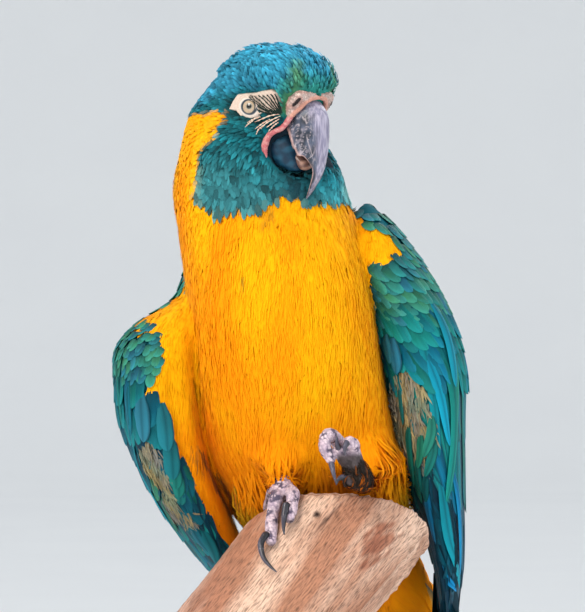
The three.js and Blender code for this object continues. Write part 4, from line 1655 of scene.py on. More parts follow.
        other = (hem[:, 1] < 24) & (np.abs(hem[:, 0] + 27) < 8) & (np.abs(hem[:, 2] - 404) < 12)
        hem = hem[self.open_skin(hem) & (band | flank | other)]
        hem = hem[rng.random(len(hem)) < 0.8]
        length = rng.uniform(16, 27, len(hem))
        batch = self.batch(
            hem, self.skirt, length, np.full(len(hem), 0.75), rng.uniform(0.6, 2.0, len(hem)), 54
        )
        feather_piece("belly_skirt", [batch], SOFT_DOWN, soft=0.6)


# ---- Wings and tail ----------------------------------------------------------------------------------------


GREENS = ("#27705a", "#34846c", "#237470", "#3b8560", "#22667a")
TEALS = ("#006a76", "#0a746a", "#00607c", "#0c7878")
DEEPS = ("#003a52", "#005a70", "#004e60", "#002f44")


@dataclass(frozen=True)
class Tier:
    """Rows of wing feathers of one kind.

    Attributes:
        top: Height of the first row's roots.
        bottom: Height of the last row's.
        rows: How many rows.
        length: Feather length in the first and last row.
        half: Half width in the first and last row.
        layer: How high they lie.
        palette: The colours they vary between.
        spread: The angles round the wing that they fill, in degrees, 0 at the front and 90 outwards.
        lean: How far they slant outwards, in degrees.
        cut: Their shape.
        flight: Whether they are flight feathers.
    """

    top: float
    bottom: float
    rows: int
    length: tuple
    half: tuple
    layer: float
    palette: tuple = GREENS
    spread: tuple = (-120, 215)
    lean: float = 0.0
    cut: Cut = Cut(8, 7, 0.05, 0.28, 0.0, 0.42, 0.0, 0.05, 1.5)
    flight: bool = False


LONG_CUT = Cut(13, 7, 0.012, 0.2, 0.0, 0.14, 0.2, 0.025, 1.5)


@dataclass
class Wing:
    """One folded wing: tiers of scalloped coverts over long flight feathers, and five primaries at the tip.

    Attributes:
        side: Which wing.
        tiers: The tiers, the lowest lying first.
        lowest: The height that the flight feathers' tips reach.
    """

    side: Side
    tiers: tuple
    lowest: float = 318.0

    def at(self, turned: Array, z: Array) -> Array:
        """The point of the wing's form at an angle that grows outwards and a height."""
        return FLESH.wings[self.side].at(self.side.value * turned, z)

    def tier_batch(self, tier: Tier, seed: int) -> Plumes:
        """Lays one tier in staggered rows down the wing's form.

        Args:
            tier: The tier.
            seed: Which random numbers.

        Returns:
            The feathers that aren't inside the body, on yellow plumage or on a down patch.
        """
        rng = np.random.default_rng(seed)
        turned, level, share = [], [], []
        for row in range(tier.rows):
            part = row / max(tier.rows - 1, 1)
            z = tier.top + (tier.bottom - tier.top) * part
            half = tier.half[0] + (tier.half[1] - tier.half[0]) * part
            _, _, a, b = FLESH.wings[self.side].section(np.array([z]))[0]
            step = 1.3 * half / (0.5 * (a + b))
            row_turns = np.arange(
                np.radians(tier.spread[0]) + step * 0.5 * (row % 2), np.radians(tier.spread[1]), step
            )
            turned.append(row_turns)
            level.append(np.full(len(row_turns), z))
            share.append(np.full(len(row_turns), part))
        turned, level, share = map(np.concatenate, (turned, level, share))
        turned = turned + rng.normal(0, 0.03, len(turned))
        level = level + rng.normal(0, 1.0, len(level))
        roots = self.at(turned, level)
        out = unit(self.at(turned + 0.05, level) - roots)
        lean = np.tan(np.radians(tier.lean)) * out * np.cos(turned)[:, None]
        lie = unit(self.at(turned, level - 6) - roots) + lean
        lie = lie + rng.normal(0, 0.06 if tier.flight else 0.12, roots.shape)
        keep = FLESH.body.distance(roots) > -4
        drawn = elevation(roots + unit(lie) * 6)
        if not tier.flight:
            front = roots[:, 1] < 34
            bare = np.max([within(patch, drawn) for patch in DOWN_PATCHES], axis=0) > 0
            yellow = (within(YELLOW_WING, drawn) > 0) | (within(YELLOW_SHOULDER, drawn) > 1)
            keep &= ~(front & (yellow | (bare & (rng.random(len(bare)) < 0.8))))
        turned, share, roots, lie = turned[keep], share[keep], roots[keep], lie[keep]
        length = (tier.length[0] + (tier.length[1] - tier.length[0]) * share) * rng.uniform(
            0.92, 1.08, len(roots)
        )
        width = (tier.half[0] + (tier.half[1] - tier.half[0]) * share) * rng.uniform(0.92, 1.06, len(roots))
        if tier.flight:
            length = np.minimum(length, (roots[:, 2] - self.lowest) * 1.02 + 14)
        layer = tier.layer + rng.uniform(0, 0.35, len(roots))
        form = FLESH.wings[self.side]
        tilt = 0.11 * self.side.value
        points, chart = grow(form, roots, lie, length, width, tier.cut, layer, seed, tilt)
        tint = self.paint(self.colours(tier, len(roots), rng), tier, rng)
        island = self.side.island
        return Plumes(points, tint, chart, patches(roots, tier.cut, island))

    @staticmethod
    def colours(tier: Tier, count: int, rng: np.random.Generator) -> Array:
        """Draws each feather's own colour between two of the tier's palette."""
        palette = np.stack([linear(code) for code in tier.palette])
        pick, other = rng.integers(0, len(palette), (2, count))
        return mix(palette[pick], palette[other], rng.uniform(0, 0.5, count))

    def paint(self, base: Array, tier: Tier, rng: np.random.Generator) -> Array:
        """Paints wing feathers.

        Args:
            base: Each feather's own colour.
            tier: The tier they belong to.
            rng: Random numbers that set them apart.

        Returns:
            Colours by feather, row and column: coverts with painted shade at the root and rimmed paler,
                flight
            feathers with a dark shaft and inner web, a bright outer web and painted shade along both edges.
        """
        u, x = tier.cut.grid()
        own = np.clip(rng.normal(1, 0.16, (len(base), 1, 1)), 0.6, 1.5)
        dark = linear("#06303c")
        if tier.flight:
            outer = x * self.side.value
            bright = base[:, None, None] * (own * (0.8 + 0.35 * smooth(0.0, 0.7, outer)))[..., None]
            inner = smooth(0.1, 0.7, -outer) * 0.85
            # Painted shade along both edges, where the feathers overlap.
            rim = smooth(0.85, 1.0, np.abs(x)) * 0.75
            return mix(bright, dark, np.maximum.reduce([inner, bell(x / 0.12) * 0.45, rim]))
        rim = smooth(0.6, 0.95, np.maximum(np.abs(x) * 0.95, u)) * smooth(0.3, 0.7, u)
        # Painted shade: the coverts darken towards the root, where the row above overlaps them.
        body = base[:, None, None] * (own * (0.6 + 0.4 * u + 0.22 * rim))[..., None]
        hint = mix(body, linear("#2f9aa4"), 0.22 * rim)
        return mix(hint, dark, 0.6 * smooth(0.55, 0.1, u) + 0.2 * bell(x / 0.1))

    def primaries(self) -> Plumes:
        """The five primaries of the wing's tip, straight from root to tip."""
        k = np.linspace(0, 1, 5)[:, None]
        if self.side is Side.LEFT:
            root = np.hstack([91 + 13 * k, 78 - 34 * k, 322 + 8 * k])
            tip = np.hstack([92 + 13 * k, 98 - 18 * k, 222 + 52 * k])
            wide = np.hstack([0.25 - 0.2 * k, 1 + 0 * k, 0.15 + 0 * k])
        else:
            root = np.hstack([-18 - 22 * k, 92 - 30 * k, 336 + 4 * k])
            tip = np.hstack([46 - 26 * k, 146 - 16 * k, 232 + 40 * k])
            wide = np.hstack([-0.75 + 0 * k, 0.66 + 0 * k, -0.2 + 0 * k])
        cut = Cut(16, 7, 0, 0.12, 0.0, 0.12, 0.2, 0.0, 0)
        way = unit(tip - root)
        root = root - way * 26
        u = cut.stations()[None, :, None]
        spine = root[:, None] + (tip - root)[:, None] * u
        side = unit(wide - (wide * way).sum(-1, keepdims=True) * way)
        over = np.cross(side, way)
        over = over * np.sign((over[:, :1] * self.side.value))
        stack = [np.repeat(v[:, None], cut.rows, 1) for v in (side, over, way)]
        length = np.linalg.norm(tip - root, axis=1)
        rng = np.random.default_rng(60)
        points, chart = lay_vanes(spine, *stack, length, np.full(5, 9.5), cut, rng)
        tier = Tier(0, 0, 1, (0, 0), (0, 0), 0, DEEPS, cut=cut, flight=True)
        tint = self.paint(self.colours(tier, 5, rng), tier, rng)
        return Plumes(points, tint, chart, patches(root, cut, self.side.island))

    def build(self) -> None:
        """Builds the coverts and the flight feathers with the primaries."""
        word = self.side.word
        coverts = [self.tier_batch(t, 70 + i) for i, t in enumerate(self.tiers) if not t.flight]
        flights = [self.tier_batch(t, 80 + i) for i, t in enumerate(self.tiers) if t.flight]
        feather_piece(
            f"wing_{word}_covert_rows", [*coverts, lay_by_hand(self.side)], WING_VANE
        )
        feather_piece(
            f"wing_{word}_flight_rows", [*flights, self.primaries()], FLIGHT_VANE,
            (f"wing_{word}_flight", *(f"primary_{word}_{i}" for i in range(1, 6))),
        )


SMALL_CUT = Cut(7, 5, 0.07, 0.3, 0.02, 0.5, 0.0, 0.09, 1.2)
WINGS = (
    Wing(Side.LEFT, (
        Tier(330, 372, 2, (60, 80), (7, 7), 0.3, DEEPS, cut=LONG_CUT, flight=True),
        Tier(396, 430, 2, (110, 130), (6.5, 7), 0.8, DEEPS, lean=5, cut=LONG_CUT, flight=True),
        Tier(446, 464, 2, (104, 84), (6, 6.5), 1.3, DEEPS, lean=6, cut=LONG_CUT, flight=True),
        Tier(486, 500, 2, (96, 70), (5.5, 6), 1.8, TEALS, lean=9, cut=LONG_CUT, flight=True),
        Tier(504, 500, 2, (34, 40), (5.5, 6), 2.2, TEALS, lean=14),
        Tier(520, 510, 2, (28, 26), (5, 5.5), 2.4, TEALS, lean=20),
        Tier(588, 518, 12, (13, 19), (3.8, 4.8), 2.0, GREENS, lean=26, cut=SMALL_CUT),
    ), 296.0),
    Wing(Side.RIGHT, (
        Tier(340, 372, 2, (50, 70), (7, 7), 0.3, DEEPS, cut=LONG_CUT, flight=True),
        Tier(392, 432, 3, (70, 95), (6.5, 7), 0.8, DEEPS, cut=LONG_CUT, flight=True),
        Tier(388, 368, 3, (26, 26), (5, 5), 1.5, TEALS),
        Tier(446, 410, 3, (32, 32), (6.2, 6.4), 1.6, DEEPS),
        Tier(476, 456, 3, (22, 28), (5, 6), 2.0, TEALS),
        Tier(564, 478, 20, (8.5, 11), (2.9, 3.5), 1.9, GREENS, cut=SMALL_CUT),
    )),
)


@dataclass(frozen=True)
class Laid:
    """One wing feather whose place is given.

    Attributes:
        line: Root, middle and tip on the front elevation: X and Z.
        half: Half its width.
        layer: How high it lies above the wing's form.
        colour: Its colour.
    """

    line: tuple
    half: float
    layer: float
    colour: str


LAID = {
    Side.LEFT: (
        Laid(((74, 506), (84, 478), (90, 424)), 3.4, 3.4, "#0a8894"),
        Laid(((80, 492), (90, 462), (96, 430)), 3.6, 4.4, "#0f9fbc"),
        Laid(((90, 490), (103, 452), (93.5, 396)), 5.0, 4.9, "#128a80"),
        Laid(((98, 506), (108.5, 478), (109.5, 440)), 4.6, 4.6, "#23907c"),
        Laid(((104, 470), (108.5, 430), (106, 376)), 4.0, 3.8, "#0b7478"),
        Laid(((88, 520), (100, 494), (103, 466)), 4.6, 5.4, "#1290a6"),
        Laid(((82, 420), (88, 378), (99.5, 340)), 3.6, 5.3, "#1490cc"),
        Laid(((90, 412), (96, 372), (104, 342)), 3.6, 5.5, "#0f9aac"),
        Laid(((98, 420), (105, 388), (106.5, 350)), 3.2, 5.3, "#0f8ec0"),
        Laid(((52, 500), (55.5, 490), (56.5, 481)), 5.0, 5.4, "#2c7c92"),
        Laid(((60, 498), (63.5, 486), (64.5, 475)), 5.6, 5.6, "#2b7fa0"),
        Laid(((56, 486), (61, 466), (63, 448)), 3.6, 3.0, "#0d5f66"),
        Laid(((63, 470), (65, 457), (66, 443)), 2.6, 4.6, "#1a6f70"),
        Laid(((72, 446), (71.5, 427), (73, 405)), 3.6, 5.2, "#15786e"),
        Laid(((85.5, 450), (85.5, 437), (83, 424)), 3.2, 5.9, "#2a8a78"),
        Laid(((80.5, 439), (81, 428), (79.5, 417)), 3.0, 5.7, "#24826c"),
        Laid(((87, 436), (86.5, 424), (84, 412)), 3.0, 5.5, "#1c7c74"),
        Laid(((78, 425), (79, 412), (80.5, 401)), 3.4, 5.3, "#146e6c"),
        Laid(((74, 414), (77, 404), (80.5, 395)), 3.2, 5.1, "#107068"),
        Laid(((84, 414), (84, 404), (84, 396)), 3.0, 5.4, "#13686c"),
    ),
    Side.RIGHT: (
        Laid(((-103, 458), (-101, 440), (-96.5, 420)), 2.4, 1.4, "#0e8f9e"),
        Laid(((-98.5, 430), (-91, 404), (-74, 378)), 2.6, 3.4, "#10a0b4"),
        Laid(((-96, 426), (-86, 396), (-62, 364)), 2.2, 2.6, "#0b8894"),
        Laid(((-107, 478), (-106.5, 462), (-104, 442)), 2.8, 3.2, "#127a76"),
        Laid(((-101, 470), (-100, 452), (-99, 434)), 3.2, 3.4, "#0c7284"),
        Laid(((-93, 462), (-91.5, 446), (-90.5, 433)), 5.4, 4.4, "#2f7f96"),
        Laid(((-82, 456), (-80, 440), (-78.5, 427)), 5.8, 4.8, "#22808e"),
        Laid(((-78, 438), (-76, 423), (-74, 410)), 5.6, 4.3, "#1d7a84"),
        Laid(((-76, 420), (-73, 411), (-72, 404)), 4.2, 3.9, "#1f8278"),
        Laid(((-73.5, 414), (-71, 406), (-70, 399)), 4.0, 3.6, "#1f8278"),
        Laid(((-72, 408), (-69.5, 400), (-68.5, 394)), 3.8, 3.3, "#1b7a78"),
        Laid(((-69, 420), (-65, 411), (-60, 405)), 3.4, 3.6, "#0f6a62"),
        Laid(((-68, 410), (-64.5, 400), (-60.5, 394)), 3.2, 3.2, "#0f6a62"),
        Laid(((-86, 413), (-84, 404), (-82.5, 397)), 4.2, 4.2, "#2d8a6c"),
        Laid(((-80.5, 398), (-76, 388), (-70.5, 378)), 4.4, 4.2, "#1a7862"),
        Laid(((-70, 396), (-68, 386), (-63, 377)), 3.4, 3.6, "#156d78"),
        Laid(((-64, 386), (-58, 374), (-52, 366)), 3.8, 4.0, "#127488"),
        Laid(((-57, 380), (-50, 368), (-46, 358)), 3.8, 4.4, "#0f7a86"),
        Laid(((-68, 376), (-58, 364), (-50, 352)), 3.0, 3.0, "#0d8a9c"),
    ),
}


def lay_by_hand(side: Side) -> Plumes:
    """Lays the feathers of one wing whose places are known.

    Each line is carried back from the front elevation to the near face of the wing's form: over a section
    with half sizes a and b the depth is y - b sqrt(1 - ((X - x)/a)^2). Then it is settled to the feather's
    layer.

    Args:
        side: Which wing.

    Returns:
        The feathers, darker at the root, with a dark inner edge and shaft.
    """
    form, feathers = FLESH.wings[side], LAID[side]
    cut = Cut(14, 7, 0, 0.22, 0.0, 0.4, 0.0, 0.0, 0)
    u = cut.stations()
    sheet = np.stack([keyed(feather.line, u) for feather in feathers])
    depth = np.zeros(sheet.shape[:2])
    turn = 0.8 if side is Side.LEFT else 3.0
    for _ in range(4):
        scale = (STAND_OFF + depth) / STAND_OFF
        z = STATION[2] + (sheet[..., 1] - STATION[2]) * scale
        x, y, a, b = np.moveaxis(form.section(z), -1, 0)
        share = turn * np.tanh(np.clip((sheet[..., 0] * scale - x) / a, -0.97, 0.97) / turn)
        depth = y - b * np.sqrt(1 - share * share)
    layer = np.array([feather.layer for feather in feathers])[:, None] * smooth(-0.3, 0.35, u)
    spine, over = form.settle(np.stack([x + share * a, depth, z], -1), layer, 2)
    along = unit(np.gradient(spine, axis=1))
    across = unit(np.cross(along, over))
    half = np.array([feather.half for feather in feathers])
    length = np.linalg.norm(spine[:, -1] - spine[:, 0], axis=-1)
    points, chart = lay_vanes(spine, across, over, along, length, half, cut, np.random.default_rng(66))
    base = 0.85 * np.stack([linear(feather.colour) for feather in feathers])[:, None, None]
    rows, cross = cut.grid()
    lit = 0.62 + 0.45 * smooth(0, 0.75, rows) + 0.16 * smooth(0.3, 0.95, np.abs(cross))
    edge = np.clip(0.8 * smooth(0.72, 1.0, -cross) + 0.4 * bell(cross / 0.13), 0, 1)
    tint = mix(base * lit[..., None], linear("#04222c"), edge)
    return Plumes(points, tint, chart, patches(spine[:, 0], cut, side.island))


@dataclass
class DownPatches:
    """Grey and buff down that shows where wing feathers have been lost.

    Attributes:
        skin: The skin they are rooted in.
        places: How many places the tufts are picked from.
        cut: The tufts' cut.
    """

    skin: Skin
    places: int = 110000
    cut: Cut = Cut(5, 3, 0.08, 0.2, 0.1, 0.6, 0.2, 0.4)

    def build(self) -> None:
        """Grows short frayed tufts inside the patches' outlines on the wings' fronts."""
        roots = self.skin.scatter(self.places, 35)
        on_wing, _ = self.skin.wing_share(roots)
        drawn = elevation(roots)
        depth = np.max([within(patch, drawn) for patch in DOWN_PATCHES], axis=0)
        roots = roots[(on_wing > 0.5) & (depth > -1.5) & (roots[:, 1] < 34)]
        rng = np.random.default_rng(36)
        length = rng.uniform(8, 14, len(roots))
        lie = np.array([0.1, 0.0, -1.0]) + rng.normal(0, 0.22, roots.shape)
        width, layer = np.full(len(roots), 0.7), rng.uniform(2.2, 3.4, len(roots))
        points, chart = grow(FLESH.whole, roots, lie, length, width, self.cut, layer, 37)
        swell = smooth(-0.7, 0.7, ripple(roots * np.array([1, 1, 0.5]), 12, 38))
        base = mix(linear("#7c7c77"), linear("#9a8c62"), swell)
        base = mix(base, linear("#5f8478"), 0.5 * smooth(0.1, 0.9, ripple(roots, 16, 39)))
        shade = 0.75 + 0.3 * self.cut.grid()[0]
        shade = shade * np.maximum(rng.normal(1, 0.16, (len(roots), 1, 1)), 0.5)
        batch = Plumes(points, base[:, None, None] * shade[..., None], chart, patches(roots, self.cut, 0))
        feather_piece("wing_down", [batch], SOFT_DOWN)


@dataclass
class Tail:
    """Twelve long tail feathers, the middle pair longest, under soft coverts.

    Attributes:
        pairs: How many pairs.
        length: How long the middle pair is from the tail's root.
        start: Where the feathers leave the coverts.
        half: Half a feather's width.
        layer: How far apart the feathers lie.
    """

    pairs: int = 6
    length: float = 418.0
    start: float = 60.0
    half: float = 13.0
    layer: float = 1.5

    def build(self) -> None:
        """Lays each feather straight along the tail's axis, orange below with teal edges."""
        pair = np.repeat(np.arange(self.pairs), 2)
        hand = np.tile([-1, 1], self.pairs)
        out = pair / (self.pairs - 1)
        reach = self.length * (1 - 0.5 * out**1.15)
        level = (2 * pair + 0.5 * hand - self.pairs + 1) * self.layer
        base = TAIL_ROOT + TAIL_UNDER * level[:, None]
        root = base + TAIL_AXIS * self.start + TAIL_SIDE * (hand * (3 + 11 * out))[:, None]
        tip = base + TAIL_AXIS * reach[:, None] + TAIL_SIDE * (hand * (3.5 + 15 * out))[:, None]
        cut = Cut(26, 9, 0, 0.06, 0.0, 0.08, 0.2, 0.0, 0)
        u = cut.stations()[None, :, None]
        spine = root[:, None] + (tip - root)[:, None] * u
        way = np.repeat(unit(tip - root)[:, None], cut.rows, 1)
        side = np.repeat(np.repeat(TAIL_SIDE[None], 12, 0)[:, None], cut.rows, 1)
        over = np.repeat(np.repeat(TAIL_UNDER[None], 12, 0)[:, None], cut.rows, 1)
        rng = np.random.default_rng(61)
        points, chart = lay_vanes(
            spine, side, over, way, np.linalg.norm(tip - root, axis=1), np.full(12, self.half), cut, rng
        )
        under, above = self.paint(cut, rng)
        unwrap = patches(root, cut, 3)
        faces = Plumes(points, under, chart, unwrap)
        backs = Plumes(points[:, :, ::-1] - TAIL_UNDER * 0.7, above[:, :, ::-1], chart[:, :, ::-1], unwrap)
        names = tuple(f"tail_feather_{s}_{i}" for s in ("right", "left") for i in range(1, self.pairs + 1))
        feather_piece("tail_vanes", [faces, backs], FLIGHT_VANE, names)

    def paint(self, cut: Cut, rng: np.random.Generator) -> tuple[Array, Array]:
        """Colours the undersides orange with teal edges, the backs red-brown at the root and blue beyond."""
        u, x = cut.grid()
        own = (rng.normal(1, 0.06, (2 * self.pairs, 1, 1)) * np.ones_like(u))[..., None]
        shaft = bell(x / 0.1) * 0.6
        under = mix(linear("#ffb742") * own, linear("#145f66"), smooth(0.55, 0.9, np.abs(x)) * 0.85)
        above = mix(
            linear("#0d6f9c") * own, linear("#7d3b22"), smooth(0.5, 0.1, u) * smooth(0.8, 0.4, np.abs(x))
        )
        return mix(under, linear("#8a4a14"), shaft), mix(above, linear("#1a1f26"), shaft)


# ---- Face, bill and eyes -----------------------------------------------------------------------------------


@dataclass
class Face:
    """Bare facial skin round each eye, with lids and short rows of tiny dark feathers.

    Attributes:
        eye: The eye's centre in the head's own axes, for the right side.
        radius: The eyeball's radius.
        gaze: The way the eye looks, in the head's own axes.
        iris: The iris's radius.
        pupil: The pupil's radius.
        drift: How far the pupil stands ahead of the iris's middle and above it.
        lines: The feather rows on the front elevation.
        folds: The folds of bare skin below them.
    """

    eye: tuple = (14.4, 23.4, 0.0)
    radius: float = 6.9
    gaze: tuple = (0.3, 0.94, 0.12)
    iris: float = 3.8
    pupil: float = 1.5
    drift: tuple = (0.55, 0.55)
    lines: tuple = (
        ((-26.2, 646.6), (-21.9, 642.3), (-17.2, 638.5), (-13.4, 637.1)),
        ((-22.9, 647.1), (-19.1, 643.8), (-15.3, 640), (-11, 637.1)),
        ((-20.5, 647.6), (-16.7, 644.7), (-13.4, 640.9), (-9.6, 637.1)),
        ((-18.1, 648), (-14.8, 645.2), (-12, 641.4), (-8.6, 637.1)),
        ((-15.8, 648.5), (-13.4, 646.1), (-11, 642.3), (-8.2, 637.6)),
        ((-13.4, 649), (-11.5, 646.6), (-9.6, 642.8), (-7.7, 638.1)),
        ((-11, 649.2), (-9.6, 646.6), (-8.4, 643.3), (-7.2, 638.5)),
        ((-21.9, 638.1), (-18.1, 636.6), (-14.3, 635.7)),
        ((-21.5, 640.4), (-18.1, 638.5), (-15.3, 637.1)),
        ((-25.2, 647.2), (-20.8, 643), (-16.2, 639.2), (-12.4, 637)),
    )
    folds: tuple = (
        ((-8, 635.4), (-13, 634.4), (-18, 632.4), (-22.5, 630.4)),
        ((-7.4, 634.2), (-12, 632), (-16, 629.6), (-19, 626.4)),
        ((-23, 631.6), (-26, 629.4), (-28.4, 627)),
        ((-17, 629), (-20.4, 626), (-22, 622.8)),
        ((-8, 632.4), (-11.5, 630.2), (-15.5, 627.4)),
        ((-8.6, 630.4), (-11.5, 628.2), (-14.6, 625)),
        ((-13.4, 632.2), (-18, 629.6), (-22.4, 626.2)),
        ((-19, 633.6), (-23.4, 632), (-27, 629.8)),
    )

    def placed(self, local: Array, side: Side) -> Array:
        """Places the head's own measures on one side of the head."""
        return HEAD.place(np.asarray(local, float) * np.array([1, -side.value, 1]))

    def skin_point(self, forward: Array, up: Array, height: Array) -> Array:
        """Walks in from the right onto the head and stops at a height above it, in the head's own axes."""
        reach = np.full(np.shape(forward), 60.0)
        for _ in range(40):
            at = HEAD.place(np.stack([forward, reach, up], -1))
            reach = reach - 0.8 * np.clip(FLESH.skull.distance(at) - height, -4, 8)
        return np.stack([forward, reach, up], -1)

    def build(self) -> None:
        """Builds the bare skin, the lids, the eyes and the feather rows for both sides."""
        outline = HEAD.local(cast(FLESH.skull, BARE_FACE))[:, [0, 2]]
        rows, cols = 110, 90
        low, high = outline.min(0) - 3, outline.max(0) + 3
        f, u = np.meshgrid(
            np.linspace(low[0], high[0], rows), np.linspace(low[1], high[1], cols), indexing="ij"
        )
        depth = within(outline, np.stack([f, u], -1))
        eye_gap = np.hypot(f - self.eye[0] - 2.0, u - self.eye[2] - 0.8)
        wrinkle = 0.2 * np.sin(eye_gap * 3.4 + 1.2 * np.sin(f * 0.9) + np.sin(u * 1.3)) * smooth(
            20, 8, eye_gap
        )
        height = 4.2 * smooth(-1.4, 0.5, depth) - 2.0 + wrinkle - 1.0 * bell(eye_gap / 9)
        local = self.skin_point(f, u, height)
        flush = 0.55 * smooth(26, 38, f) + 0.2 * smooth(0.3, 0.9, np.sin(eye_gap * 3))
        base = mix(linear("#d6c3b3"), linear("#cd9f93"), flush)
        base = mix(base, linear("#1f4a47"), 0.85 * smooth(0.8, -0.6, depth))
        chart = np.stack([f, u], -1)
        for side in Side:
            word = side.word
            points = self.placed(local, side)
            faces = grid_faces(1, rows, cols)
            faces = faces if side is Side.LEFT else faces[:, ::-1]
            piece = make_mesh(f"face_skin_{word}", points, faces, base, {"Fold": chart})
            finish_piece(piece, BARE_SKIN)
            self.build_eye(side)
            self.build_lids(side)
            self.build_rows(side)
            self.build_folds(side)

    def frame_of(self, side: Side) -> tuple[Array, Array, Array, Array]:
        """The eye's centre, gaze, and two directions across the gaze."""
        centre = self.placed(self.eye, side)
        gaze = unit(self.placed(self.gaze, side) - self.placed((0, 0, 0), side))
        ahead = unit(HEAD.axes[0] - (HEAD.axes[0] @ gaze) * gaze)
        return centre, gaze, ahead, np.cross(gaze, ahead)

    def build_eye(self, side: Side) -> None:
        """Builds the eyeball: a ball turned to the gaze, its cornea 6 percent proud, coloured by radius."""
        centre, gaze, ahead, over = self.frame_of(side)
        polar = np.linspace(0.0, 2.0, 60)[:, None]
        around = np.linspace(0, TURN, 72, endpoint=False)[None]
        reach = self.radius * (1 + 0.06 * bell(polar / 0.55))
        ring = np.cos(around)[..., None] * ahead + np.sin(around)[..., None] * over
        points = centre + reach[..., None] * (
            np.cos(polar)[..., None] * gaze + np.sin(polar)[..., None] * ring
        )
        radius = self.radius * np.sin(polar) + 0 * around
        radius = np.where(polar > np.pi / 2, 9.0, radius)
        inner = np.hypot(radius * np.cos(around) - self.drift[0], radius * np.sin(around) - self.drift[1])
        fibres = 0.5 + 0.5 * np.sin(around * 38 + 3 * np.sin(around * 5))
        cream = mix(linear("#a88d74"), linear("#cbb294"), fibres + 0 * radius)
        iris = mix(linear("#85887a"), cream, smooth(self.pupil, self.pupil + 0.8, inner))
        iris = mix(iris, linear("#8a7d62"), smooth(self.iris - 0.5, self.iris, radius))
        tint = mix(linear("#060606"), iris, smooth(self.pupil - 0.12, self.pupil + 0.12, inner))
        tint = mix(tint, linear("#2c3843"), smooth(self.iris - 0.1, self.iris + 0.2, radius))
        faces = grid_faces(1, 60, 72, closed=True)
        closed_piece(f"eyeball_{side.word}", points, faces, tint, WET_EYE, (f"eye_{side.word}",))

    def build_lids(self, side: Side) -> None:
        """Builds the lids: a ring round the gaze that rises off the ball and folds over to the cheek."""
        centre, gaze, ahead, over = self.frame_of(side)
        share = np.linspace(0, 1, 16)[:, None]
        around = np.linspace(0, TURN, 96, endpoint=False)[None]
        radius = 4.35 + 4.4 * share
        oval = 1 + 0.07 * np.cos(2 * around) + 0.03 * np.cos(around)
        lip = np.sqrt(self.radius**2 - 4.35**2)
        rim = 0.75 * np.sin(np.pi * np.clip(share * 1.15, 0, 1)) - 3.6 * share**1.6
        rise = np.where(share < 0.12, lip + 0.1, lip + rim)
        rise = rise + 0.07 * np.sin(around * 30) * np.sin(np.pi * share)
        ring = np.cos(around)[..., None] * ahead + np.sin(around)[..., None] * over
        points = centre + rise[..., None] * gaze + (radius * oval)[..., None] * ring
        tint = mix(linear("#2c3843"), linear("#4a5560"), smooth(0.04, 0.14, share) + 0 * around)
        tint = mix(tint, linear("#dfd1c4"), smooth(0.14, 0.28, share) + 0 * around)
        faces = grid_faces(1, 16, 96, closed=True)
        closed_piece(f"lids_{side.word}", points, faces, tint, BARE_SKIN)

    def build_rows(self, side: Side) -> None:
        """Builds the tiny dark feathers that grow in rows across the bare skin."""
        rng = np.random.default_rng(64)
        roots, lies = [], []
        for line in self.lines:
            curve = cast(FLESH.skull, keyed(line, np.linspace(0, 1, 18)))
            if side is Side.LEFT:
                curve = HEAD.mirrored(curve)
            roots.append(curve)
            lies.append(unit(np.gradient(curve, axis=0)))
        roots, lie = np.concatenate(roots), np.concatenate(lies)
        roots = roots + rng.normal(0, 0.1, roots.shape)
        cut = Cut(4, 3, 0.05, 0.2, 0.1, 0.5, 0.3, 0.3, 0.0)
        points, chart = grow(
            FLESH.skull, roots, lie, np.full(len(roots), 2.4), rng.uniform(
                0.36, 0.58, len(roots)
            ), cut, 2.5, 65
        )
        tint = np.broadcast_to(linear("#1a2b26"), points.shape) * 1.0
        batch = Plumes(points, tint, chart, patches(roots, cut, 0))
        feather_piece(f"face_feather_rows_{side.word}", [batch], HEAD_DOWN)

    def build_folds(self, side: Side) -> None:
        """Builds the thin pale folds that run back from the gape over the dark cheek feathers."""
        for i, fold in enumerate(self.folds, 1):
            t = np.linspace(0, 1, 36)
            path = cast(FLESH.skull, keyed(fold, t))
            path, _ = FLESH.skull.settle(path, 2.35, 2)
            if side is Side.LEFT:
                path = HEAD.mirrored(path)
            swell = 0.42 * np.sqrt(np.clip(np.sin(np.pi * (0.05 + 0.92 * t)), 0.01, 1)) * (
                1 + 0.4 * np.sin(t * 31 + i)
            )
            points, faces = tube(path, swell, swell * 0.8, 10, np.cross(path[-1] - path[0], HEAD.axes[1]))
            tint = mottle(points, "#dcc9b4", "#c9a08f", -0.5, 0.8, 3, 77)
            closed_piece(f"face_fold_{side.word}_{i}", points, faces, tint, BARE_SKIN)


def fix_outwards(piece: Thing) -> None:
    """Turns a closed or nearly closed piece's faces outwards by comparing them with the piece's middle."""
    mesh = piece.data
    normal = np.zeros(len(mesh.polygons) * 3, np.float32)
    centre = np.zeros(len(mesh.polygons) * 3, np.float32)
    mesh.polygons.foreach_get("normal", normal)
    mesh.polygons.foreach_get("center", centre)
    normal, centre = normal.reshape(-1, 3), centre.reshape(-1, 3)
    if (normal * (centre - centre.mean(0))).sum() < 0:
        mesh.flip_normals()


def closed_piece(
    name: str, points: Array, faces: Array, tint: Array, finish: Finish,
    nodes: tuple[str, ...] = (),
) -> None:
    """Writes a closed piece, turns its faces outwards and finishes it."""
    piece = make_mesh(name, points, faces, tint)
    fix_outwards(piece)
    finish_piece(piece, finish, nodes)


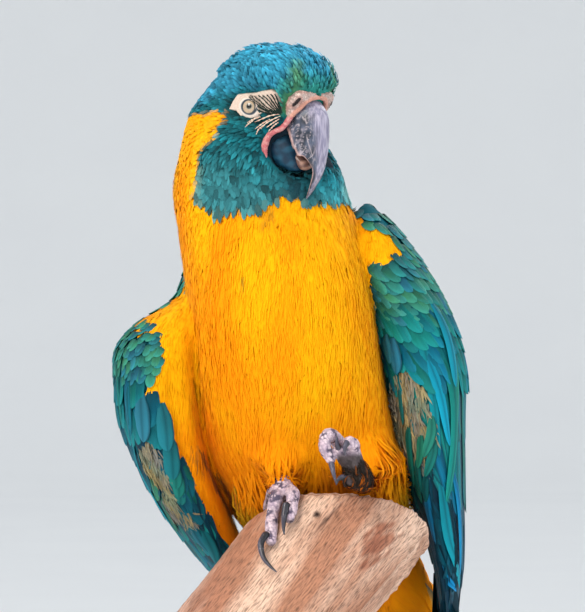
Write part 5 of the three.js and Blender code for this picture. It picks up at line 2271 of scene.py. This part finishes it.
@dataclass
class Bill:
    """The hooked bill, its lower half, the tongue, the cere and the soft skin at the gape.

    Attributes:
        culmen: The ridge, forward and up in the head's own axes.
        tomium: The upper half's cutting edge.
        halves: The upper half's half width at each station.
        lower: Stations of the lower half: forward, up, half width, half depth.
        tongue: Stations of the tongue, the same way.
    """

    culmen: tuple = (
        (36, 14.5), (44.5, 13), (52.3, 7.2), (56.6, -3), (59.3, -15), (60, -28), (57, -39), (54, -46),
    )
    tomium: tuple = (
        (30, -2), (36, -6), (40.4, -12), (45.5, -19.5), (51, -20), (57.2, -26.4), (56.4, -37), (53.8, -45.6),
    )
    halves: tuple = (13, 13.2, 12.4, 10.8, 8.4, 5.0, 2.8, 0.5)
    lower: tuple = (
        (14, -14, 10, 8), (20, -17, 13, 12), (26, -19.8, 14.8, 14), (33, -23.6, 13.2, 12.2), (
            39, -26.8, 10.6, 8.6
        ),
        (43.6, -27.6, 8, 5), (46, -27.6, 5, 2),
    )
    tongue: tuple = (
        (32, -20, 4, 3), (38, -21.8, 5.6, 3.5), (43, -24.4, 6.4, 4), (47.5, -26.8, 5.2, 3.7), (
            49.4, -28, 2.6, 1.9
        ),
    )

    def build_upper(self) -> None:
        """Builds the upper half.

        Across the bill the point runs tomium + (culmen - tomium) * sin(a)^0.9 with a side of
        width * sign(cos a) |cos a|, and the palate closes it from below at a tenth of that height.
        """
        rows, over, under = 120, 72, 20
        t = np.linspace(0, 1, rows)
        ridge, edge = keyed(self.culmen, t), keyed(self.tomium, t)
        half = keyed(np.array(self.halves)[:, None], t)
        a = np.linspace(0, np.pi, over)
        b = np.linspace(np.pi, 0, under + 2)[1:-1]
        lift = np.concatenate([np.sin(a) ** 0.9, 0.16 * np.sin(b)])
        out = np.concatenate([np.cos(a), 0.9 * np.cos(b)])
        notch = 1.6 * bell((t - 0.42) / 0.035) - 0.8 * bell((t - 0.5) / 0.05)
        span = edge[:, None] + (ridge - edge)[:, None] * lift[None, :, None]
        span = span + (notch[:, None] * (1 - lift) ** 4)[..., None] * np.array([0.0, 1.0])
        growth = 0.10 * np.sin(t * 150) * np.sin(np.pi * t)
        wide = (half[:, 0] + growth)[:, None] * out
        points = HEAD.place(np.stack([span[..., 0], wide, span[..., 1]], -1))
        faces = grid_faces(1, rows, over + under, closed=True)
        tint = self.upper_tint(t[:, None], lift[None], points)
        closed_piece("bill_upper_horn", points, faces, tint, BILL_HORN, ("bill_upper",))

    @staticmethod
    def upper_tint(t: Array, lift: Array, points: Array) -> Array:
        """Slate sides under a net of whitish scratches, a lilac-grey ridge that is partly paler horn and
        partly painted sky reflection, a tan cutting edge and tip.
        """
        base = mottle(points, "#232c3a", "#4b5468", -0.6, 0.8, 6, 71)
        upright = np.array([1, 1, 0.15])
        # The lilac-grey ridge: partly the horn's paler tone, partly a painted reflection of the sky on the
        # faces that turn up.
        ridge_tone_and_sky_sheen = smooth(0.66, 0.95, lift + 0.07 * ripple(points * upright, 3, 70)) * smooth(0.0, 0.14, t)
        lilac = mottle(points * upright, "#88839b", "#b3acbf", -0.5, 0.6, 1.4, 69)
        base = mix(base, lilac, 0.9 * ridge_tone_and_sky_sheen * (1 - 0.45 * smooth(0.7, 1.0, t)))
        for seed, pitch in ((72, 7.0), (78, 4.6)):
            veins = np.abs(ripple(points * np.array([1, 1, 0.45]), pitch, seed))
            share = smooth(0.11, 0.02, veins) * smooth(0.9, 0.6, lift)
            share = share * smooth(0.06, 0.2, t) * smooth(0.76, 0.55, t)
            base = mix(base, linear("#c4b6bb"), 0.62 * share)
        scuff = smooth(0.75, 0.45, lift) * smooth(0.22, 0.34, t) * smooth(0.62, 0.5, t)
        base = mix(base, linear("#b9adb9"), 0.35 * scuff * smooth(0.1, 0.9, ripple(points, 4.5, 73)))
        tan = smooth(0.13, 0.03, lift) * smooth(0.1, 0.2, t) + smooth(0.5, 0.2, lift) * smooth(0.62, 0.8, t)
        return mix(base, linear("#cfa79e"), 0.75 * np.clip(tan, 0, 1))

    def build_lower(self) -> None:
        """Builds the black lower half and the tongue as tubes carried along their stations."""
        for name, stations, finish, slot, colours, node in (
            ("bill_lower_horn", self.lower, LOWER_HORN, "bill_lower", ("#0b2c42", "#1d4e66"), "bill_lower"),
            ("tongue_flesh", self.tongue, TONGUE_FLESH, "tongue", ("#6b4d45", "#b88f7e"), "tongue"),
        ):
            rows = keyed(stations, np.linspace(0, 1, 40))
            t = np.linspace(0, 1, 40)
            round_off = np.sqrt(np.clip(1 - (1 - np.clip(np.minimum(t, 1 - t) / 0.12, 0, 1)) ** 2, 0.0005, 1))
            path = HEAD.place(np.stack([rows[:, 0], 0 * rows[:, 0], rows[:, 1]], -1))
            points, faces = tube(path, rows[:, 2] * round_off, rows[:, 3] * round_off, 44, HEAD.axes[1])
            tint = mottle(points, *colours, -0.5, 0.9, 6, 73)
            closed_piece(name, points, faces, tint, finish, (node,))

    def build_cere(self) -> None:
        """Nets the cere and the gape's skin in one, pebbled, with a slanting nostril in each side."""
        nostrils = [
            Strand(roll.path, np.array([1.3, 0.9])) for roll in strands_on_skull(
                [(0.3, 641.6), (3.2, 645.4)], [1, 1], 4.2
            )
        ]
        crown = Union(CERE_ROLLS, 1.5)
        rims = Union(RIM_ROLLS, 1.5)
        folds = Union(GAPE_ROLLS, 1.5)
        roll = Hollowed(Union([crown, rims, folds], 1.6), nostrils)
        corners = np.vstack([strand.path for strand in (*CERE_ROLLS, *RIM_ROLLS, *GAPE_ROLLS)])
        points, quads = net(roll, corners.min(0) - 6, corners.max(0) + 6, 0.7)
        _, normal = roll.settle(points)
        pebble = smooth(0.9, 0.1, Foot.cells(points, 74, 1.4))
        hole = np.minimum(*(n.distance(points) for n in nostrils))
        bare = crown.distance(points)
        pink = smooth(-0.8, 0.8, bare - folds.distance(points))
        smooth_rim = smooth(-0.6, 0.8, bare - rims.distance(points)) * (1 - pink)
        plain = np.maximum(pink, smooth_rim)
        points = points - normal * (0.45 * pebble * (1 - plain) + 0.16 * pebble * plain)[:, None]
        tint = mottle(points, "#f2d8cc", "#eabbae", -0.8, 0.8, 4, 75)
        tint = mix(tint, linear("#d99c88"), smooth_rim)
        tint = mix(tint, mottle(points, "#cf6f74", "#e09a96", -0.6, 0.8, 3, 76), pink)
        tint = mix(tint, linear("#4a3935"), (0.55 - 0.38 * plain) * pebble)
        # Painted shade inside the nostrils.
        tint = mix(tint, linear("#231a1b"), smooth(0.6, 0.1, hole))
        piece = make_mesh("cere_skin", points, quads, tint)
        finish_piece(piece, CERE_SKIN, ("cere",))

    def build(self) -> None:
        """Builds every part of the bill."""
        self.build_upper()
        self.build_lower()
        self.build_cere()


# ---- Feet --------------------------------------------------------------------------------------------------


@dataclass
class Foot:
    """One zygodactyl foot, two toes forward and two back, with its bare shank and four hooked claws.

    Attributes:
        side: Which foot.
        toes: The toes' paths.
        claws: The claws' paths.
        palm: The sole's centre and half sizes.
        shank: The shank's stations: place and radius.
        root: A toe's radius where it leaves the sole.
        tip: Its radius at the claw.
    """

    side: Side
    toes: tuple
    claws: tuple
    palm: tuple
    shank: tuple
    root: float = 4.8
    tip: float = 3.5

    def build(self) -> None:
        """Nets sole, shank and toes into one foot with raised scutes and painted shade beneath, and adds the
        claws.
        """
        strands = []
        for toe in self.toes:
            path = keyed(toe, np.linspace(0, 1, 13))
            t = np.linspace(0, 1, 13)
            pads = 1 + 0.07 * np.cos(t * TURN * 2.5)
            strands.append(Strand(path, (self.root + (self.tip - self.root) * t) * pads))
        shank = np.array(self.shank, float)
        leg = Strand(shank[:, :3], shank[:, 3])
        sole = Ellipsoid(np.array(self.palm[0], float), np.array(self.palm[1], float))
        form = Union([*strands, sole, leg], 2.2)
        corners = np.vstack([np.array(t) for t in self.toes] + [shank[:, :3]])
        points, quads = net(form, corners.min(0) - 9, corners.max(0) + 9, 0.85)
        read = [s.nearest(points) for s in [*strands, leg]]
        gaps = np.stack([g for g, _ in read])
        nearest = gaps.argmin(0)
        along = np.take_along_axis(np.stack([a for _, a in read]), nearest[None], 0)[0]
        _, normal = form.settle(points)
        scute = np.abs(np.sin(along * np.pi / 3.1 + nearest + 0.5 * ripple(points, 7, 90)))
        cell = self.cells(points, 91, 2.3)
        groove = np.maximum(smooth(0.35, 0.05, scute), smooth(0.55, 0.1, cell))
        points = points - normal * (0.34 * groove)[:, None]
        mark = smooth(0.1, 0.5, ripple(points, 6, 92) - 0.35 * normal[:, 0]) * smooth(0.95, 0.35, cell)
        pale = mottle(points, "#e6d0d6", "#c9b2c0", -0.8, 0.8, 5, 93)
        tint = mix(pale, linear("#7a6a80"), 0.6 * groove)
        tint = mix(tint, linear("#3f3850"), 0.9 * mark)
        # Painted shade on the faces that turn down; on the raised left foot the low underside is partly its
        # dark skin and partly painted shade.
        under = smooth(0.2, -0.5, normal[:, 2])
        if self.side is Side.LEFT:
            under = 1.85 * smooth(429, 424, points[:, 2]) * smooth(25.5, 28, points[:, 0])
        tint = mix(tint, linear("#322924"), 0.5 * under)
        word = self.side.word
        piece = make_mesh(f"foot_{word}_scaled", points, quads, tint)
        finish_piece(piece, FOOT_SCALES, (f"foot_{word}", f"shank_{word}"))
        if self.side is Side.LEFT:
            self.build_ankle(form, points)
        for i, claw in enumerate(self.claws, 1):
            self.build_claw(claw, f"claw_{word}_{i}")

    def build_ankle(self, form: Form, points: Array) -> None:
        """Grows dark and orange feathers down from the ankle of the raised foot."""
        rng = np.random.default_rng(97)
        low = points[(points[:, 2] < 424) & (points[:, 0] > 30) & (points[:, 1] > -66)]
        roots = rng.permutation(low)[:760]
        lie = np.array([0.1, 0.1, -1.0]) + rng.normal(0, 0.2, roots.shape)
        cut = Cut(5, 3, 0.14, 0.1, 0.2, 0.6, 0.2, 0.1, 0.5)
        length, width = rng.uniform(4, 9, len(roots)), rng.uniform(0.35, 0.8, len(roots))
        spread, chart = grow(form, roots, lie, length, width, cut, rng.uniform(0.2, 1.0, len(roots)), 98)
        share = smooth(-0.4, 0.4, ripple(roots, 5, 99) + 1.1 * smooth(412, 402, roots[:, 2]) - 0.75)
        tint = mix(linear("#2e2620"), linear("#c8660c"), share)[:, None, None] * np.ones(spread.shape)
        batch = Plumes(spread, tint, chart, patches(roots, cut, 0))
        feather_piece("ankle_feathers_left", [batch], SOFT_DOWN)

    @staticmethod
    def cells(points: Array, seed: int, size: float) -> Array:
        """Scale cells: how far each point is from the border between its two nearest scattered centres."""
        rng = np.random.default_rng(seed)
        low, high = points.min(0), points.max(0)
        count = int(np.prod(high - low) / size**3)
        centres = low + (high - low) * rng.random((count, 3))
        border = np.empty(len(points))
        block = 1500
        for start in range(0, len(points), block):
            part = points[start:start + block]
            gap = np.sqrt(((part[:, None] - centres[None]) ** 2).sum(-1))
            two = np.partition(gap, 1, axis=1)[:, :2]
            border[start:start + block] = two[:, 1] - two[:, 0]
        return border

    def build_claw(self, path: tuple, node: str) -> None:
        """Carries a tapering ellipse along the claw's curve, slate with a painted highlight along its back
        and a dark point.
        """
        t = np.linspace(0, 1, 36)
        curve = keyed(path, t)
        taper = 2.4 * (1 - 0.84 * t**1.1) * np.sqrt(
            np.clip(1 - np.clip((t - 0.94) / 0.06, 0, 1) ** 2, 0.002, 1)
        )
        taper = taper * np.sqrt(np.clip(t / 0.05, 0.002, 1))
        bend = unit(np.cross(curve[-1] - curve[0], curve[18] - curve[0]))
        points, faces = tube(curve, taper * 0.82, taper * 1.05, 22, bend)
        # Painted highlight along the claw's back, fading towards the point.
        back = smooth(
            -0.3, 0.9, unit(points - curve[:, None]) @ unit(curve[18] - 0.5 * (curve[0] + curve[-1]))
        )
        tint = mix(linear("#14151c"), linear("#6a6478"), 0.6 * back * (1 - 0.4 * t[:, None]))
        closed_piece(f"{node}_horn", points, faces, tint, CLAW_HORN, (node,))


FEET = (
    Foot(
        Side.RIGHT,
        (
            ((-8, -34, 403), (-10, -42, 398.5), (-12.6, -48, 386.5), (-13, -61.5, 373.5)),
            ((-3, -34, 403), (0, -43, 401.5), (-0.4, -50.5, 394.5), (-1.8, -54.5, 387)),
            ((-9, -29, 402.5), (-11.5, -19, 400.8), (-13.5, -9.5, 395.3), (-15, -1, 388.8)),
            ((-4, -29, 403), (-4, -18, 402.5), (-4, -7, 396), (-4, 0, 389.5)),
        ),
        (
            (
                (-15, -60, 379), (-19, -66, 372.5), (-17.8, -70.5, 364.5), (-13.5, -75.5, 359), (
                    -9.4, -79, 355.5
                ),
            ),
            ((-3.4, -54, 397), (-5, -58, 388.5), (-5.4, -59.5, 382), (-5, -61.5, 377)),
            ((-15.5, 1, 388), (-16, 6, 383.8), (-17, 10, 378.6), (-17.5, 12.5, 373)),
            ((-4, 2, 388.5), (-4, 8, 384.5), (-5, 12, 379.5), (-5, 14, 374)),
        ),
        ((-6, -33, 401.5), (6.5, 7.5, 4.5)),
        ((-6, -20, 416, 6.6), (-6, -27, 409, 6.0), (-6, -32, 403.5, 5.4)),
    ),
    Foot(
        Side.LEFT,
        (
            ((30, -52, 430), (24.5, -62, 437), (20.4, -68, 436.5), (19.6, -71, 430.5), (23, -71, 423.5)),
            ((37, -56, 424), (36.5, -64, 431), (34.8, -71, 433.3), (33.8, -75, 433)),
            ((38, -57, 420), (33, -63, 422), (29.5, -66.5, 425.5), (28, -68.5, 429)),
            ((41, -54, 415), (38.5, -60, 411.5), (36, -63, 410.5), (33.5, -63.5, 411)),
        ),
        (
            ((23.4, -72, 421.5), (24.4, -74.4, 416.5), (25.6, -74.4, 412), (26.6, -72.5, 408)),
            ((33, -78, 434), (31.8, -80.2, 431.6), (31.4, -80.4, 428.6), (31.8, -79.2, 426)),
            ((27.8, -69.5, 430), (27, -72.5, 432.5), (26.7, -73.8, 435), (26.6, -73.5, 437.8)),
            ((32.5, -64, 411), (30, -66, 412.2), (27.8, -67, 411), (26.4, -67.5, 407.5)),
        ),
        ((36.5, -60, 421.5), (6, 6.5, 8)),
        ((43, -37, 409, 6.0), (40, -49, 412, 7.0), (37, -57, 419.5, 6.4)),
    ),
)


# ---- Log and stand -----------------------------------------------------------------------------------------


@dataclass
class LogPerch:
    """A short thick log without its bark, worn to a slope at the rim where the bird stands.

    Attributes:
        top: Where its axis leaves the worn end.
        axis: Its axis, towards that end.
        radius: Its radius.
        length: How far it reaches down from the top.
        wear: The worn faces: outward normal and offset from the top.
        rub: How wide the edges are rubbed round.
        rim_tuck: How far the side falls in at the worn end.
        hole: A small bored hole, on the front elevation.
        crack: Both ends of a drying crack, on the front elevation.
        stain: The middle of a warm stain, on the front elevation.
    """

    top: tuple = (32.0, -0.6, 377.8)
    axis: tuple = (0.568, 0.454, 0.687)
    radius: float = 48.0
    length: float = 172.0
    wear: tuple = (
        (0.14, 0.7, 0.7, 0), (0.06, 0.25, 0.966, 14), (0.35, 0.3, 0.89, 19.5), (-0.3, 0.35, 0.89, 20)
    )
    rub: float = 7.0
    rim_tuck: float = 2.2
    hole: tuple = (15.2, 387.0)
    crack: tuple = ((31.9, 395.0), (12.1, 374.0))
    stain: tuple = (52.0, 368.0)

    def build(self) -> None:
        """Builds the log in rings.

        The side's radius is 48(1 + 0.025 sin(3a + 0.8) + 0.02 sin(s/34 + 1)) with dents; the worn end is the
        least of the wear planes over the disc, with its edges rubbed round.
        """
        axis = unit(np.array(self.axis))
        v = np.cross([0.0, 1.0, 0.0], axis)
        skew = np.array([[0, -v[2], v[1]], [v[2], 0, -v[0]], [-v[1], v[0], 0]])
        turn = np.eye(3) + skew + skew @ skew / (1 + axis[1])
        one, two = turn @ [1.0, 0, 0], turn @ [0, 0, 1.0]
        around, side_rows, cap_rows = 300, 190, 90
        a = np.linspace(0, TURN, around, endpoint=False)[None]
        s = np.linspace(0, 1, side_rows)[:, None]
        q = np.linspace(1, 0.0, cap_rows)[1:, None]

        def radius(along: Array) -> Array:
            """The bare side's radius at a distance along the axis."""
            return self.radius * (1 + 0.025 * np.sin(3 * a + 0.8) + 0.02 * np.sin(along / 34 + 1))

        def end(share: Array) -> Array:
            """The worn end's height along the axis over a share of the disc."""
            r = share * radius(0.0)
            flat = r[..., None] * (np.cos(a)[..., None] * one + np.sin(a)[..., None] * two)
            heights = []
            for x, y, z, offset in self.wear:
                out = unit(np.array([x, y, z]))
                heights.append((offset - flat @ out) / (out @ axis))
            heights = np.stack(heights)
            return -self.rub * 0.35 * np.log(np.exp(-heights / (self.rub * 0.35)).sum(0))

        rim = end(np.ones((1, 1))) - 2.0
        along = -self.length + (rim + self.length) * s
        edge = np.clip((rim - along) / self.rub, 0, 1)
        tuck = quarter_round(1 - edge) * self.rim_tuck + quarter_round(np.clip(1 - s * 40, 0, 1)) * 3
        side = self.place(along, radius(along) - tuck, a, one, two, axis)
        shrink = (radius(rim) - self.rim_tuck) / radius(0.0)
        over = end(q * shrink) - 2.0 * q**12
        cap = self.place(over, q * shrink * radius(0.0), a, one, two, axis)
        points = np.concatenate([side, cap])
        grain = np.concatenate([along + 0 * a, over + 0 * a])
        bump = self.surface(points, grain, a)
        middle = np.array(self.top) + axis * grain[..., None]
        outward = unit(points - middle)
        outward[side_rows:] = axis
        points = points + outward * bump[..., None]
        flat_chart = np.stack([(a + 0 * grain) * self.radius * MM, grain * MM], -1)
        local = points - np.array(self.top)
        cap_chart = np.stack([local @ one * MM, local @ two * MM * 0.5], -1)
        chart = np.where((np.arange(len(points)) < side_rows)[:, None, None], flat_chart, cap_chart)
        pole = np.broadcast_to(points[0].mean(0), points[:1].shape)
        points = np.concatenate([pole, points])
        chart = np.concatenate([chart[:1], chart])
        tint = self.tint(points)
        faces = grid_faces(1, len(points), around, closed=True)
        piece = make_mesh("perch_log_wood", points, faces, tint, {"Grain": chart})
        fix_outwards(piece)
        finish_piece(piece, LOG_WOOD, ("perch_log",))

    def place(self, along: Array, radius: Array, a: Array, one: Array, two: Array, axis: Array) -> Array:
        """Turns distances along and round the axis into places."""
        flat = np.cos(a)[..., None] * one + np.sin(a)[..., None] * two
        return np.array(self.top) + (along + 0 * a)[..., None] * axis + radius[..., None] * flat

    def surface(self, points: Array, along: Array, a: Array) -> Array:
        """The wood's relief: long low swells along the grain, a drying crack and a small bored hole."""
        swell = 0.35 * np.sin(a * 23 + 0.8 * np.sin(along / 17)) * np.sin(a * 7 + along / 60)
        drawn = elevation(points)
        front = points[..., 1] < 20
        hole = self.hole_share(drawn, 2.2) * front
        crack = self.crack_share(drawn) * front
        rim = smooth(-26, -4, along)
        fibres = ripple(points * np.array([1, 1, 0.4]), 7, 95)
        rough = (0.12 + 0.5 * rim) * ripple(points, 3.2, 94) + 0.8 * rim * fibres
        return swell + rough - 2.6 * hole - 1.1 * crack

    def hole_share(self, drawn: Array, size: float) -> Array:
        """How much a place on the front elevation belongs to the bored hole, whose border is sharp."""
        return np.exp(-((np.linalg.norm(drawn - np.array(self.hole), axis=-1) / size) ** 4))

    def crack_share(self, drawn: Array) -> Array:
        """How near a place on the front elevation is to the drying crack, fading at the crack's ends."""
        a, b = np.array(self.crack)
        w = np.clip((drawn - a) @ (b - a) / ((b - a) @ (b - a)), 0, 1)
        gap = np.linalg.norm(drawn - a - w[..., None] * (b - a), axis=-1)
        return bell(gap / 0.7) * np.sin(np.pi * np.clip(w, 0.02, 0.98)) ** 0.5

    def tint(self, points: Array) -> Array:
        """Paints shade into the bored hole, darkens the crack, greys the fibrous rim and warms a knot."""
        drawn = elevation(points)
        front = points[..., 1] < 20
        ones = np.ones(points.shape)
        hole = self.hole_share(drawn, 2.0) * front
        lean = np.array([[0.82, 0.57], [-0.57, 0.82]])
        patch = np.linalg.norm((drawn - np.array(self.stain)) @ lean / np.array([9, 17]), axis=-1)
        patch = smooth(1.2, 0.5, patch + 0.35 * ripple(points, 6, 96)) * front
        base = mix(ones, linear("#b98468"), 0.8 * patch)
        mauve = smooth(-20, -75, drawn[..., 0]) * front
        base = mix(base, linear("#d8c6cf"), 0.5 * mauve)
        base = mix(base, linear("#5a2c16"), 0.9 * self.crack_share(drawn) * front)
        # Painted shade inside the bored hole.
        return mix(base, linear("#2e140b"), hole)


@dataclass
class Stand:
    """A turned wooden base and the steel rod that carries the log.

    Attributes:
        radius: The base's radius.
        thick: Its thickness.
        rod: The rod's radius.
    """

    radius: float = 150.0
    thick: float = 18.0
    rod: float = 7.0

    def build(self) -> None:
        """Turns the base's profile and the rod's about the vertical."""
        r, h = self.radius, self.thick
        arc = np.linspace(0, np.pi / 2, 12)
        profile = np.concatenate([
            [[0, 0], [r - 6, 0]],
            np.stack([r - 3 + 3 * np.sin(arc), 3 - 3 * np.cos(arc)], -1),
            np.stack([r - 5 + 5 * np.cos(arc), h - 5 + 5 * np.sin(arc)], -1),
            [[r - 9, h], [r - 10, h - 1.2], [r - 12, h - 1.2], [r - 13, h], [0, h]],
        ])
        self.lathe("stand_base_turned", profile, (0, 0), 160, BASE_WOOD, "stand_wood", "stand_base")
        low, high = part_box("stand_rod")
        middle = ((low.x + high.x) / 2 / MM, (low.y + high.y) / 2 / MM)
        top, foot, rod = high.z / MM, low.z / MM, self.rod
        collar = np.array([
            [0, foot], [15, foot], [16, foot + 1], [16, foot + 5], [14.5, foot + 7], [rod + 1.5, foot + 8], [
                rod, foot + 10
            ],
            [rod, top - 0.5], [rod - 0.5, top], [0, top],
        ])
        self.lathe("stand_rod_brushed", collar, middle, 48, ROD_STEEL, "stand_metal", "stand_rod")

    @staticmethod
    def lathe(
        name: str, profile: Array, middle: tuple, around: int, finish: Finish, slot: str, node: str
    ) -> None:
        """Turns a profile of radius and height about a vertical line and dresses it."""
        a = np.linspace(0, TURN, around, endpoint=False)
        ring = np.stack([np.cos(a), np.sin(a)], -1)
        level = profile[:, None, :1] * ring + np.array(middle)
        points = np.concatenate([level, np.repeat(profile[:, None, 1:], around, 1)], -1)
        piece = make_mesh(
            name, points, grid_faces(1, len(profile), around, closed=True), np.ones(points.shape)
        )
        fix_outwards(piece)
        sharp = piece.modifiers.new("edges", "EDGE_SPLIT")
        sharp.split_angle = np.radians(40)
        finish_piece(piece, finish, (node,))


# ---- Studio ------------------------------------------------------------------------------------------------


@dataclass
class Studio:
    """A pale floor that sweeps up into a wall, a level camera in front, and three wide soft lights.

    Attributes:
        lens: The camera's focal length in millimetres.
        far: The radius of the flat floor in metres.
        sweep: The radius of the curve between floor and wall in metres.
        wall: The wall's height in metres.
    """

    lens: float = 284.96
    far: float = 10.5
    sweep: float = 3.0
    wall: float = 9.0

    def build_camera(self) -> None:
        """Sets the level camera 3 m in front of the model."""
        data = bpy.data.cameras.new("camera")
        data.lens = self.lens
        data.sensor_width = 36.0
        data.clip_end = 60.0
        camera = bpy.data.objects.new("camera", data)
        camera.location = tuple(STATION * MM)
        camera.rotation_euler = (np.pi / 2, 0, 0)
        bpy.context.scene.collection.objects.link(camera)
        bpy.context.scene.camera = camera

    def build_floor(self) -> None:
        """Turns the floor's profile about the vertical: flat, a quarter circle up, and a straight wall."""
        arc = np.linspace(0, np.pi / 2, 16)
        bend = np.stack([self.far + self.sweep * np.sin(arc), self.sweep * (1 - np.cos(arc))], -1)
        profile = np.vstack(
            [[[0.01, 0], [1, 0], [4, 0], [7, 0]], bend, [[self.far + self.sweep, self.wall]]]
        ) / MM
        a = np.linspace(0, TURN, 96, endpoint=False)
        ring = np.stack([np.cos(a), np.sin(a)], -1)
        points = np.concatenate(
            [profile[:, None, :1] * ring, np.repeat(profile[:, None, 1:], len(a), 1)], -1
        )
        floor = make_mesh("studio_floor", points, grid_faces(1, len(profile), len(a), closed=True)[:, ::-1])
        floor.data.materials.append(STUDIO.material())

    def build_lights(self) -> None:
        """Hangs a key at the upper left, a fill at the right, a rim behind, and pale air all round."""
        world = bpy.data.worlds.new("soft_air")
        world.use_nodes = True
        world.node_tree.nodes["Background"].inputs["Color"].default_value = rgba("#eef2f6")
        world.node_tree.nodes["Background"].inputs["Strength"].default_value = 1.15
        bpy.context.scene.world = world
        aim = Vector((0, 0, 0.5))
        for name, place, size, watts, colour in (
            ("key", (-1.6, -2.4, 2.6), 1.8, 88, "#fff6ea"),
            ("fill", (2.4, -2.0, 1.3), 2.2, 26, "#eef4ff"),
            ("rim", (1.2, 2.2, 2.4), 1.6, 44, "#ffffff"),
        ):
            data = bpy.data.lights.new(name, "AREA")
            data.shape, data.size, data.energy = "DISK", size, watts
            data.color = tuple(linear(colour))
            lamp = bpy.data.objects.new(name, data)
            lamp.location = place
            lamp.rotation_euler = (aim - Vector(place)).to_track_quat("-Z", "Y").to_euler()
            bpy.context.scene.collection.objects.link(lamp)

    def build(self) -> None:
        """Builds camera, floor and lights and keeps colours as they are mixed."""
        self.build_camera()
        self.build_floor()
        self.build_lights()
        view = bpy.context.scene.view_settings
        view.view_transform = "Standard"
        view.look = "None"


def report_packed_nodes() -> None:
    """Reports the CAD nodes that still show as packed."""
    shown = [name for name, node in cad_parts.items() if not node.hide_render]
    LOG.info("packed nodes still shown: %s", ", ".join(sorted(shown)) or "none")


def main() -> None:
    """Builds the studio, the skin, the plumage, the head's parts, the feet, the log and the stand."""
    logging.basicConfig(level=logging.INFO, format="%(name)s: %(message)s")
    Studio().build()
    skin = Skin()
    skin.build()
    Coat(skin).build()
    for wing in WINGS:
        wing.build()
    DownPatches(skin).build()
    Tail().build()
    Face().build()
    Bill().build()
    for foot in FEET:
        foot.build()
    LogPerch().build()
    Stand().build()
    report_packed_nodes()


if __name__ == "__main__":
    main()
